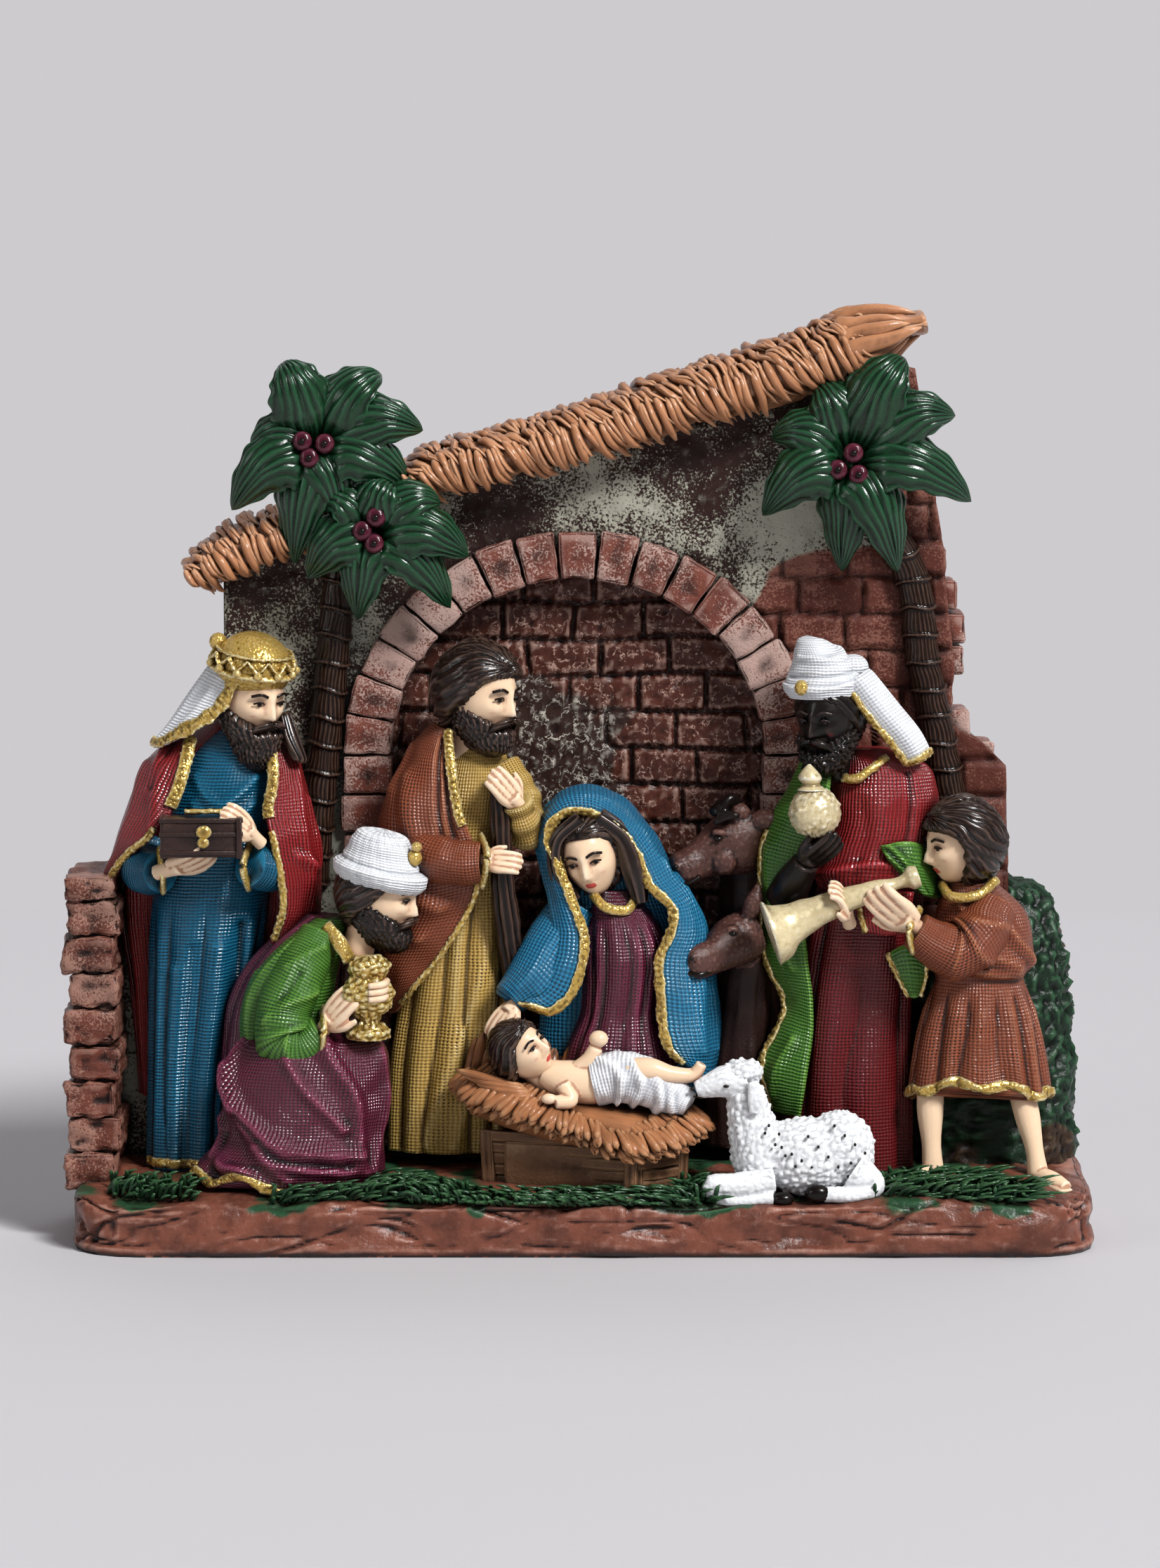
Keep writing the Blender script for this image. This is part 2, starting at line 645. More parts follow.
def make_base():
    """The slab: a rounded outline with worn sides, with the ground rising to the wall."""
    half_length, half_depth = BASE_LENGTH / 2, BASE_DEPTH / 2
    bm = bmesh.new()
    bmesh.ops.create_cube(bm, size=1.0, matrix=Matrix.Translation((BASE_CENTRE_X, 0.0, BASE_LIP_HEIGHT / 2))
                          @ Matrix.Diagonal((2 * half_length, 2 * half_depth, BASE_LIP_HEIGHT, 1.0)))
    for side, radius in ((-1, BASE_CORNER_RADIUS), (1, BASE_BACK_CORNER_RADIUS)):
        uprights = [edge for edge in bm.edges
                    if abs(edge.verts[0].co.z - edge.verts[1].co.z) > BASE_LIP_HEIGHT / 2
                    and edge.verts[0].co.y * side > half_depth * 0.9 and len(edge.link_faces) == 2
                    and edge.calc_face_angle() > math.radians(80)]
        bmesh.ops.bevel(bm, geom=uprights, offset=radius, segments=5, affect="EDGES", profile=0.5,
                        material=-1)
    for cut_y in (-half_depth / 2, 0.0, WALL_FRONT_Y):
        bmesh.ops.bisect_plane(bm, geom=bm.verts[:] + bm.edges[:] + bm.faces[:], plane_co=(0.0, cut_y, 0.0),
                               plane_no=(0.0, 1.0, 0.0))
    for step in range(1, BASE_SWELL_STEPS):
        cut_x = BASE_CENTRE_X - half_length + BASE_LENGTH * step / BASE_SWELL_STEPS
        bmesh.ops.bisect_plane(bm, geom=bm.verts[:] + bm.edges[:] + bm.faces[:], plane_co=(cut_x, 0.0, 0.0),
                               plane_no=(1.0, 0.0, 0.0))
    for vert in bm.verts:
        vert.co.y *= 1.0 + side_swell(vert.co.x) / half_depth
        if vert.co.z > BASE_LIP_HEIGHT / 2:
            vert.co.z = ground_at(vert.co.y)
    slab = new_object("base_slab", bm, "stone")
    rim = slab.modifiers.new("worn_edge", "BEVEL")
    rim.width = BASE_EDGE_ROUND
    rim.segments = 2
    rim.limit_method = "ANGLE"
    rim.angle_limit = math.radians(50)
    graph = bpy.context.evaluated_depsgraph_get()
    slab.data = bpy.data.meshes.new_from_object(slab.evaluated_get(graph))
    slab.modifiers.clear()
    return slab


def roof_line(x):
    """Height of the wall's top under the main thatch at x."""
    share = (x - ROOF_LINE_LEFT_X) / (ROOF_LINE_RIGHT_X - ROOF_LINE_LEFT_X)
    return ROOF_LINE_LEFT_HEIGHT + (ROOF_LINE_RIGHT_HEIGHT - ROOF_LINE_LEFT_HEIGHT) * share


def arch_points(grow, foot):
    """The arch's outline grown by grow, as (x, z), from its left foot over the top to its right one."""
    points = [(ARCH_CENTRE_X - ARCH_HALF_WIDTH - grow, foot)]
    for step in range(ARCH_STEPS + 1):
        turn = math.pi * (1 - step / ARCH_STEPS)
        points.append((ARCH_CENTRE_X + (ARCH_HALF_WIDTH + grow) * math.cos(turn),
                       ARCH_SPRING_HEIGHT + (ARCH_RISE + grow) * math.sin(turn)))
    points.append((ARCH_CENTRE_X + ARCH_HALF_WIDTH + grow, foot))
    return points


def make_wall():
    """The ruin: broken edges left and right, the gable, and the arch cut through it."""
    foot = BASE_LIP_HEIGHT - BITE
    back = WALL_FRONT_Y + WALL_THICKNESS
    chip = 0.0016
    outline = [
        (WALL_LEFT_X - WALL_FOOT_SPREAD, foot),
        (WALL_LEFT_X - WALL_FOOT_SPREAD, BASE_GROUND_HEIGHT + PIER_HEIGHT - QUOIN_HEIGHT),
        (WALL_LEFT_X, ARCH_SPRING_HEIGHT + QUOIN_HEIGHT * 2),
        (WALL_LEFT_X, EAVE_HEIGHT),
        (ROOF_LINE_LEFT_X - RING_WIDTH, EAVE_HEIGHT + EAVE_THATCH_RISE),
        (ROOF_LINE_LEFT_X, roof_line(ROOF_LINE_LEFT_X)),
        (ROOF_LINE_RIGHT_X, roof_line(ROOF_LINE_RIGHT_X)),
        (WALL_RIGHT_X - chip, EAVE_HEIGHT + QUOIN_HEIGHT),
        (WALL_RIGHT_X - chip, EAVE_HEIGHT),
        (WALL_RIGHT_X + chip, EAVE_HEIGHT - QUOIN_HEIGHT),
        (WALL_RIGHT_X, EAVE_HEIGHT - QUOIN_HEIGHT * 1.5),
        (WALL_RIGHT_X + chip, EAVE_HEIGHT - QUOIN_HEIGHT * 2),
        (WALL_RIGHT_X - chip, EAVE_HEIGHT - QUOIN_HEIGHT * 3),
        (WALL_RIGHT_X - chip, WALL_STEP_HEIGHT + chip * 2),
        ((WALL_RIGHT_X + WALL_STEP_X) / 2, WALL_STEP_HEIGHT),
        (WALL_STEP_X, WALL_STEP_HEIGHT - QUOIN_HEIGHT),
        (WALL_STEP_X, BASE_GROUND_HEIGHT + BANK_HEIGHT),
        (BANK_RIGHT_X - chip * 2, BASE_GROUND_HEIGHT + BANK_HEIGHT / 2),
        (BANK_RIGHT_X - chip * 2, foot),
    ]
    wall = plate("ruin_wall", "stone", outline, WALL_FRONT_Y, back)
    through = plate("arch_hole", "stone", arch_points(0.0, foot - BITE), WALL_FRONT_Y - BITE, back + BITE)
    return cut(wall, through)


def make_niche():
    """The bricked back of the niche, set in from the wall's face."""
    outline = arch_points(-SEAM, BASE_LIP_HEIGHT - BITE)
    return plate("niche_panel", "brick", outline, WALL_FRONT_Y + NICHE_DEPTH, WALL_FRONT_Y + WALL_THICKNESS)


def make_ring():
    """The band of bricks round the arch and down its legs."""
    foot = BASE_LIP_HEIGHT - BITE
    front = WALL_FRONT_Y - RING_PROUD
    back = WALL_FRONT_Y - SEAM
    ring = plate("arch_ring", "brick", arch_points(RING_WIDTH, foot), front, back)
    return cut(ring, plate("ring_hole", "brick", arch_points(0.0, foot - BITE), front - BITE, back + BITE))


def open_joints(ring):
    """Cuts the joints between the voussoirs and between the quoins below them."""
    front = WALL_FRONT_Y - RING_PROUD
    cutters = []
    for index in range(1, VOUSSOIR_COUNT):
        turn = math.pi * index / VOUSSOIR_COUNT
        inner = Vector((ARCH_HALF_WIDTH * math.cos(turn), 0.0, ARCH_RISE * math.sin(turn)))
        outward = Vector((ARCH_RISE * math.cos(turn), 0.0, ARCH_HALF_WIDTH * math.sin(turn))).normalized()
        centre = Vector((ARCH_CENTRE_X, front, ARCH_SPRING_HEIGHT)) + inner + outward * RING_WIDTH / 2
        cutters.append((centre, math.atan2(outward.z, outward.x)))
    for side in (-1, 1):
        level = ARCH_SPRING_HEIGHT
        while level > BASE_GROUND_HEIGHT + QUOIN_HEIGHT:
            x = ARCH_CENTRE_X + side * (ARCH_HALF_WIDTH + RING_WIDTH / 2)
            cutters.append((Vector((x, front, level)), 0.0))
            level -= QUOIN_HEIGHT
    for centre, turn in cutters:
        bm = bmesh.new()
        size = Matrix.Diagonal((RING_WIDTH * 1.5, 2 * JOINT_DEPTH, JOINT_WIDTH, 1.0))
        matrix = Matrix.Translation(centre) @ Matrix.Rotation(-turn, 4, "Y") @ size
        bmesh.ops.create_cube(bm, size=1.0, matrix=matrix)
        cut(ring, new_object("joint", bm, "brick"))


def make_pier():
    """The broken brick pier: staggered courses, one over the other."""
    rows = int(PIER_HEIGHT / PIER_COURSE) + 1
    pier = None
    bottom = BASE_LIP_HEIGHT - BITE
    for row in range(rows):
        shift = PIER_STAGGER * (1 if row % 2 else -1)
        top = BASE_GROUND_HEIGHT + PIER_HEIGHT * (row + 1) / rows
        low = (PIER_LEFT_X + PIER_STAGGER + shift, PIER_FRONT_Y + PIER_STAGGER + shift, bottom)
        high = (PIER_LEFT_X + PIER_WIDTH + shift, WALL_FRONT_Y + WALL_THICKNESS / 2, top + SEAM)
        course = block("left_pier", "brick", low, high)
        pier = course if pier is None else fuse(pier, course)
        bottom = top
    return pier


def make_bank():
    """The mossy bank behind the shepherd, in swelling lumps that lean back against the wall."""
    middle = (BANK_LEFT_X + BANK_RIGHT_X) / 2
    half = (BANK_RIGHT_X - BANK_LEFT_X) / 2
    foot = BASE_LIP_HEIGHT - BITE
    back = WALL_FRONT_Y + WALL_THICKNESS
    stations = []
    for share, width in ((0.0, 0.98), (0.30, 1.0), (0.52, 0.93), (0.72, 0.92), (0.90, 0.72), (1.0, 0.36)):
        height = BASE_GROUND_HEIGHT + BANK_HEIGHT * share if share else foot
        front = BANK_FRONT_Y + BANK_LEAN_BACK * share
        lean = half * (1.0 - width) * 0.76
        stations.append(((middle + lean, (front + back) / 2, height), half * width, (back - front) / 2))
    return sweep("mossy_bank", "moss", stations)


def between(share, profile):
    """The values of a profile at share, taken between its two nearest points."""
    for low, high in zip(profile[:-1], profile[1:]):
        if share <= high[0]:
            part = (share - low[0]) / (high[0] - low[0])
            return [one + (other - one) * part for one, other in zip(low[1:], high[1:])]
    return profile[-1][1:]


def make_thatch(name, left, right, front, line, profile):
    """A slanting roll of straw tufts on the wall's top, thick in the middle and drawn in at its ends."""
    back = WALL_FRONT_Y + WALL_THICKNESS + BITE
    half_depth = (back - front) / 2
    count = 2 * round((right - left) / THATCH_TUFT_WIDTH)
    stations = []
    for index in range(count + 1):
        share = index / count
        x = left + (right - left) * share
        lift, half = between(share, profile)
        tuft = THATCH_TUFT_RELIEF * (1 if index % 2 else -1)
        stations.append(((x, (front + back) / 2, line(x) + lift), half + tuft, half_depth + tuft))
    return sweep(name, "thatch", stations, start=0.0010, end=0.0010)


def eave_line(x):
    """Height of the small thatch's run at x."""
    share = (x - EAVE_THATCH_LEFT_X) / (EAVE_THATCH_RIGHT_X - EAVE_THATCH_LEFT_X)
    return EAVE_THATCH_LEFT_HEIGHT + (EAVE_THATCH_RIGHT_HEIGHT - EAVE_THATCH_LEFT_HEIGHT) * share


def make_trunk(name, foot_x, top_x, height):
    """A leaning palm trunk with a lip at each leaf scar."""
    stations = []
    foot = BASE_LIP_HEIGHT - BITE
    for ring in range(TRUNK_RING_COUNT):
        for inner, lip in ((0.0, -TRUNK_RING_LIP), (0.82, TRUNK_RING_LIP)):
            share = (ring + inner) / TRUNK_RING_COUNT
            x = foot_x + (top_x - foot_x) * share ** 1.3
            stations.append(((x, TRUNK_Y, foot + height * share), TRUNK_RADIUS + lip, TRUNK_RADIUS + lip))
    stations.append(((top_x, TRUNK_Y, foot + height), TRUNK_RADIUS, TRUNK_RADIUS))
    return sweep(name, "bark", stations, sides=LIMB_SIDES)


def make_leaf(centre, degrees, length):
    """One palm leaf from the hub outwards, arching back at its tip."""
    turn = math.radians(degrees)
    out = Vector((math.cos(turn), 0.0, math.sin(turn)))
    stations = []
    for share, width in ((0.0, 0.45), (0.38, 1.0), (0.75, 0.85), (1.0, 0.12)):
        drop = LEAF_DROOP * share ** 2 - LEAF_THICKNESS * 0.5 * math.sin(math.pi * share)
        at = Vector(centre) + out * length * share - TOWARDS_VIEWER * drop
        stations.append((at, LEAF_HALF_WIDTH * width, LEAF_THICKNESS * (0.55 + 0.45 * width)))
    return sweep("leaf", "palm_green", stations, sides=LEAF_SIDES)


def make_crown(name, x, y, height, leaves):
    """A crown of leaves round a hub that reaches back to the wall, with three nuts in front."""
    hub = Vector((x, y, height))
    back = (WALL_FRONT_Y + BITE) - y
    crown = ball(name, "palm_green", (x, y + back / 2, height), (HUB_RADIUS, back / 2 + BITE, HUB_RADIUS),
                 sides=LIMB_SIDES)
    crown.name = name
    for degrees, length in leaves:
        fuse(crown, make_leaf(hub, degrees, length))
    for degrees in (90, 210, 330):
        turn = math.radians(degrees)
        at = hub + Vector((math.cos(turn), 0.0, math.sin(turn))) * NUT_RADIUS * 1.1
        at += TOWARDS_VIEWER * (LEAF_THICKNESS + NUT_RADIUS * 0.4)
        fuse(crown, ball("nut", "burgundy", at, (NUT_RADIUS,) * 3, sides=LIMB_SIDES))
    return crown


def head(name, paint, centre, half_width, half_height, chin, sway):
    """A plain head with its neck, and a beard or chin that reaches chin below the centre."""
    centre = Vector(centre)
    skull = ball(name, paint, centre, (half_width, half_width * 1.1, half_height))
    neck = sweep("neck", paint, [(centre, half_width * 0.55, half_width * 0.55),
                                 (centre - UP * (half_height + chin * 0.75) + TOWARDS_VIEWER * -0.001,
                                  half_width * 0.62, half_width * 0.62)], sides=LIMB_SIDES)
    jaw = sweep("jaw", paint, [(centre - UP * half_height * 0.35 + TOWARDS_VIEWER * half_width * 0.35
                                + Vector((sway * 0.4, 0, 0)), half_width * 0.84, half_width * 0.80),
                               (centre - UP * (half_height * 0.4 + chin) + TOWARDS_VIEWER * half_width * 0.7
                                + Vector((sway, 0, 0)), half_width * 0.42, half_width * 0.42)],
                sides=LIMB_SIDES, end=half_width * 0.3)
    return fuse(skull, neck, jaw)


def limb(name, paint, points, radius, wrist=0.72, sides=LIMB_SIDES):
    """A sleeve or leg through points, drawn in to wrist times its radius at the far end."""
    stations = []
    for index, point in enumerate(points):
        share = index / (len(points) - 1)
        size = radius * (1.0 + (wrist - 1.0) * share)
        stations.append((Vector(point), size, size))
    return sweep(name, paint, stations, sides=sides, start=radius * 0.6, end=radius * 0.4)


def make_standing_king():
    """The king with the casket: robe, cloak, head, crown, veil, sleeves, hands and casket."""
    foot = BASE_LIP_HEIGHT - BITE
    ground = BASE_GROUND_HEIGHT
    x, y = KING_X, KING_Y
    shoulder = ground + KING_SHOULDER_HEIGHT
    chest_x = x + KING_LEAN
    robe = sweep("king_robe", "blue", [
        ((x - KING_LEAN / 2, y, foot), KING_HEM_HALF_WIDTH, KING_HEM_HALF_DEPTH),
        ((x - KING_LEAN / 2, y, ground + KING_SHOULDER_HEIGHT * 0.35), KING_HEM_HALF_WIDTH * 0.90,
         KING_HEM_HALF_DEPTH * 0.92),
        ((x, y, ground + KING_SHOULDER_HEIGHT * 0.65), KING_CHEST_HALF_WIDTH, KING_CHEST_HALF_DEPTH),
        ((chest_x, y, ground + KING_SHOULDER_HEIGHT * 0.88), KING_CHEST_HALF_WIDTH, KING_CHEST_HALF_DEPTH),
        ((chest_x, y, shoulder), KING_CHEST_HALF_WIDTH * 0.66, KING_CHEST_HALF_DEPTH * 0.7),
    ], end=0.0020)
    cloak_y = y + KING_CLOAK_HALF_DEPTH * 0.35
    cloak = sweep("king_cloak", "red", [
        ((x, cloak_y, foot), KING_CLOAK_HALF_WIDTH * 0.86, KING_CLOAK_HALF_DEPTH),
        ((x, cloak_y, ground + KING_SHOULDER_HEIGHT * 0.55), KING_CLOAK_HALF_WIDTH, KING_CLOAK_HALF_DEPTH),
        ((x + KING_LEAN * 0.4, cloak_y, ground + KING_SHOULDER_HEIGHT * 0.72), KING_CLOAK_HALF_WIDTH * 0.94,
         KING_CLOAK_HALF_DEPTH * 1.1),
        ((chest_x, cloak_y, ground + KING_SHOULDER_HEIGHT * 0.93), KING_CLOAK_SHOULDER_HALF_WIDTH,
         KING_CLOAK_HALF_DEPTH * 1.2),
        ((chest_x, cloak_y, shoulder + 0.0015), KING_CLOAK_SHOULDER_HALF_WIDTH * 0.55,
         KING_CLOAK_HALF_DEPTH * 0.8),
    ], end=0.0015)
    for side in (-1, 1):
        fall_top = Vector((chest_x + side * KING_CLOAK_SHOULDER_HALF_WIDTH * 0.72, y - KING_SLEEVE_RADIUS,
                           shoulder - KING_SLEEVE_RADIUS))
        fall_end = Vector((x + side * KING_CLOAK_HALF_WIDTH * 0.95 + KING_LEAN / 2,
                           y - KING_SLEEVE_RADIUS * 1.6, shoulder - KING_SLEEVE_FALL))
        stations = []
        for share, wide, forward in ((0.0, 0.85, 0.2), (0.35, 1.15, 1.0), (0.65, 1.2, 1.0), (1.0, 0.45, 0.2)):
            at = fall_top + (fall_end - fall_top) * share
            out = Vector((side * KING_SLEEVE_RADIUS * 0.5, -KING_SLEEVE_RADIUS, 0.0)) * forward
            stations.append((at + out, KING_SLEEVE_RADIUS * wide, KING_SLEEVE_RADIUS * wide))
        fuse(cloak, sweep("sleeve_fall", "red", stations, start=0.0010, end=0.0010))
    casket_low = ground + CASKET_HEIGHT_ABOVE_GROUND - CASKET_HEIGHT / 2
    casket_x = x - KING_LEAN * 0.25
    casket_back = y - KING_CHEST_HALF_DEPTH
    casket = block("king_casket", "casket_brown",
                   (casket_x - CASKET_LENGTH / 2, casket_back - CASKET_DEPTH + BITE, casket_low),
                   (casket_x + CASKET_LENGTH / 2, casket_back + BITE * 2, casket_low + CASKET_HEIGHT),
                   bevel=0.0004)
    hands, sleeves = [], []
    for side, lift, reach in ((-1, -0.10, 0.62), (1, 0.45, 1.20)):
        elbow = (x + side * KING_CLOAK_HALF_WIDTH * 0.62, y - KING_SLEEVE_RADIUS,
                 casket_low - KING_SLEEVE_RADIUS * 0.5)
        wrist = (casket_x + side * CASKET_LENGTH * 0.5 * reach, casket_back - CASKET_DEPTH * 0.42,
                 casket_low + CASKET_HEIGHT * lift)
        upper = (chest_x + side * KING_CHEST_HALF_WIDTH * 0.8, y, shoulder - KING_SLEEVE_RADIUS * 2.5)
        sleeves.append(limb("sleeve", "blue", [upper, elbow, wrist], KING_SLEEVE_RADIUS, wrist=1.0))
        side_name = "right" if side < 0 else "left"
        palm = Vector(wrist) + Vector((-side * KING_HAND_RADIUS * 0.6, -KING_HAND_RADIUS * 1.1,
                                       -KING_HAND_RADIUS * 0.5))
        hands.append(ball(f"king_{side_name}_hand", "skin", palm,
                          (KING_HAND_RADIUS * 1.7, KING_HAND_RADIUS * 1.1, KING_HAND_RADIUS),
                          sides=LIMB_SIDES))
    fuse(robe, *sleeves)
    head_centre = Vector((chest_x + KING_LEAN, y - KING_CHEST_HALF_DEPTH * 0.7,
                          shoulder + KING_HEAD_HALF_HEIGHT * 1.35))
    face = head("king_head", "skin", head_centre, KING_HEAD_HALF_WIDTH, KING_HEAD_HALF_HEIGHT,
                KING_BEARD_LENGTH,
                0.0004)
    crown_low = head_centre + UP * KING_HEAD_HALF_HEIGHT * 0.45
    crown = sweep("king_crown", "gold", [
        (crown_low, KING_CROWN_RADIUS * 0.98, KING_CROWN_RADIUS * 1.05),
        (crown_low + UP * KING_CROWN_HEIGHT * 0.5, KING_CROWN_RADIUS * 1.04, KING_CROWN_RADIUS * 1.1),
    ], end=KING_CROWN_HEIGHT * 0.5)
    veil_top = head_centre + Vector((-KING_HEAD_HALF_WIDTH * 0.55, KING_HEAD_HALF_WIDTH * 0.45,
                                     KING_HEAD_HALF_HEIGHT * 0.55))
    veil_end = veil_top + Vector((-KING_VEIL_LENGTH * 0.62, BITE, -KING_VEIL_LENGTH * 0.78))
    veil = sweep("king_veil", "white", [
        (veil_top, KING_VEIL_HALF_WIDTH * 1.25, KING_VEIL_HALF_WIDTH * 1.3),
        ((veil_top + veil_end) / 2, KING_VEIL_HALF_WIDTH * 1.1, KING_VEIL_HALF_WIDTH * 1.2),
        (veil_end, KING_VEIL_HALF_WIDTH * 0.8, KING_VEIL_HALF_WIDTH),
    ], sides=LIMB_SIDES)
    return [casket, *hands, face, crown, veil, robe, cloak]


def make_kneeling_king():
    """The kneeling king: skirt with its train, tunic, sleeve, hands, head, cap and censer."""
    foot = BASE_LIP_HEIGHT - BITE
    ground = ground_at(KNEELER_Y)
    x, y = KNEELER_X, KNEELER_Y
    half = KNEELER_SKIRT_LENGTH / 2
    skirt = sweep("kneeler_skirt", "burgundy", [
        ((x - KNEELER_TRAIN_LENGTH * 0.35, y, foot), half + KNEELER_TRAIN_LENGTH * 0.3,
         KNEELER_SKIRT_HALF_DEPTH),
        ((x, y, ground + KNEELER_KNEE_HEIGHT * 0.35), half * 0.92, KNEELER_SKIRT_HALF_DEPTH * 0.88),
        ((x, y, ground + KNEELER_KNEE_HEIGHT * 0.80), half * 0.90, KNEELER_SKIRT_HALF_DEPTH * 0.80),
        ((x, y, ground + KNEELER_KNEE_HEIGHT), half * 0.80, KNEELER_SKIRT_HALF_DEPTH * 0.70),
    ], end=0.0030)
    shoulder = ground + KNEELER_SHOULDER_HEIGHT
    hip_x = x - KNEELER_LEAN * 0.55
    top_x = hip_x + KNEELER_LEAN
    tunic = sweep("kneeler_tunic", "green", [
        ((hip_x, y, ground + KNEELER_KNEE_HEIGHT * 0.7), KNEELER_TORSO_HALF_WIDTH, KNEELER_TORSO_HALF_DEPTH),
        ((hip_x + KNEELER_LEAN * 0.4, y, (ground + KNEELER_KNEE_HEIGHT + shoulder) / 2),
         KNEELER_TORSO_HALF_WIDTH * 0.95, KNEELER_TORSO_HALF_DEPTH),
        ((top_x, y, shoulder), KNEELER_TORSO_HALF_WIDTH * 0.62, KNEELER_TORSO_HALF_DEPTH * 0.72),
    ], end=0.0020)
    censer_x = x + half * 0.70
    censer_y = y - BITE * 2
    censer_low = ground + KNEELER_KNEE_HEIGHT + BITE * 3
    censer = sweep("kneeler_censer", "gold", [
        ((censer_x, censer_y, censer_low - BITE * 3), CENSER_RADIUS * 0.62, CENSER_RADIUS * 0.62),
        ((censer_x, censer_y, censer_low), CENSER_RADIUS * 0.55, CENSER_RADIUS * 0.55),
        ((censer_x, censer_y, censer_low + CENSER_HEIGHT * 0.30), CENSER_RADIUS, CENSER_RADIUS),
        ((censer_x, censer_y, censer_low + CENSER_HEIGHT * 0.52), CENSER_RADIUS * 0.72, CENSER_RADIUS * 0.72),
        ((censer_x, censer_y, censer_low + CENSER_HEIGHT * 0.80), CENSER_RADIUS * 1.05, CENSER_RADIUS * 1.05),
    ], sides=LIMB_SIDES, end=CENSER_HEIGHT * 0.16)
    grip = Vector((censer_x - CENSER_RADIUS, censer_y - CENSER_RADIUS * 0.4,
                   censer_low + CENSER_HEIGHT * 0.35))
    sleeve = limb("sleeve", "green", [
        (top_x - KNEELER_TORSO_HALF_WIDTH * 0.25, y - KNEELER_TORSO_HALF_DEPTH * 0.5,
         shoulder - KNEELER_SLEEVE_RADIUS),
        (hip_x + KNEELER_TORSO_HALF_WIDTH * 0.35, y - KNEELER_TORSO_HALF_DEPTH * 0.72,
         ground + KNEELER_KNEE_HEIGHT + KNEELER_SLEEVE_RADIUS * 1.2),
        grip - Vector((KNEELER_SLEEVE_RADIUS * 1.1, 0.0, KNEELER_SLEEVE_RADIUS * 0.5)),
    ], KNEELER_SLEEVE_RADIUS)
    fuse(tunic, sleeve)
    hand = ball("kneeler_hand", "skin", grip, (KNEELER_HAND_RADIUS * 1.1, KNEELER_HAND_RADIUS,
                                               KNEELER_HAND_RADIUS * 1.7), sides=LIMB_SIDES)
    head_centre = Vector((top_x + KNEELER_HEAD_HALF_WIDTH * 0.95, y,
                          shoulder + KNEELER_HEAD_HALF_HEIGHT * 0.75))
    face = head("kneeler_head", "skin", head_centre, KNEELER_HEAD_HALF_WIDTH, KNEELER_HEAD_HALF_HEIGHT,
                KNEELER_BEARD_LENGTH, 0.0015)
    cap_low = head_centre + UP * KNEELER_HEAD_HALF_HEIGHT * 0.30
    cap = sweep("kneeler_cap", "white", [
        (cap_low, KNEELER_CAP_RADIUS, KNEELER_CAP_RADIUS),
        (cap_low + UP * KNEELER_CAP_HEIGHT * 0.55, KNEELER_CAP_RADIUS * 0.86, KNEELER_CAP_RADIUS * 0.86),
    ], end=KNEELER_CAP_HEIGHT * 0.40)
    return [censer, hand, face, cap, tunic, skirt]


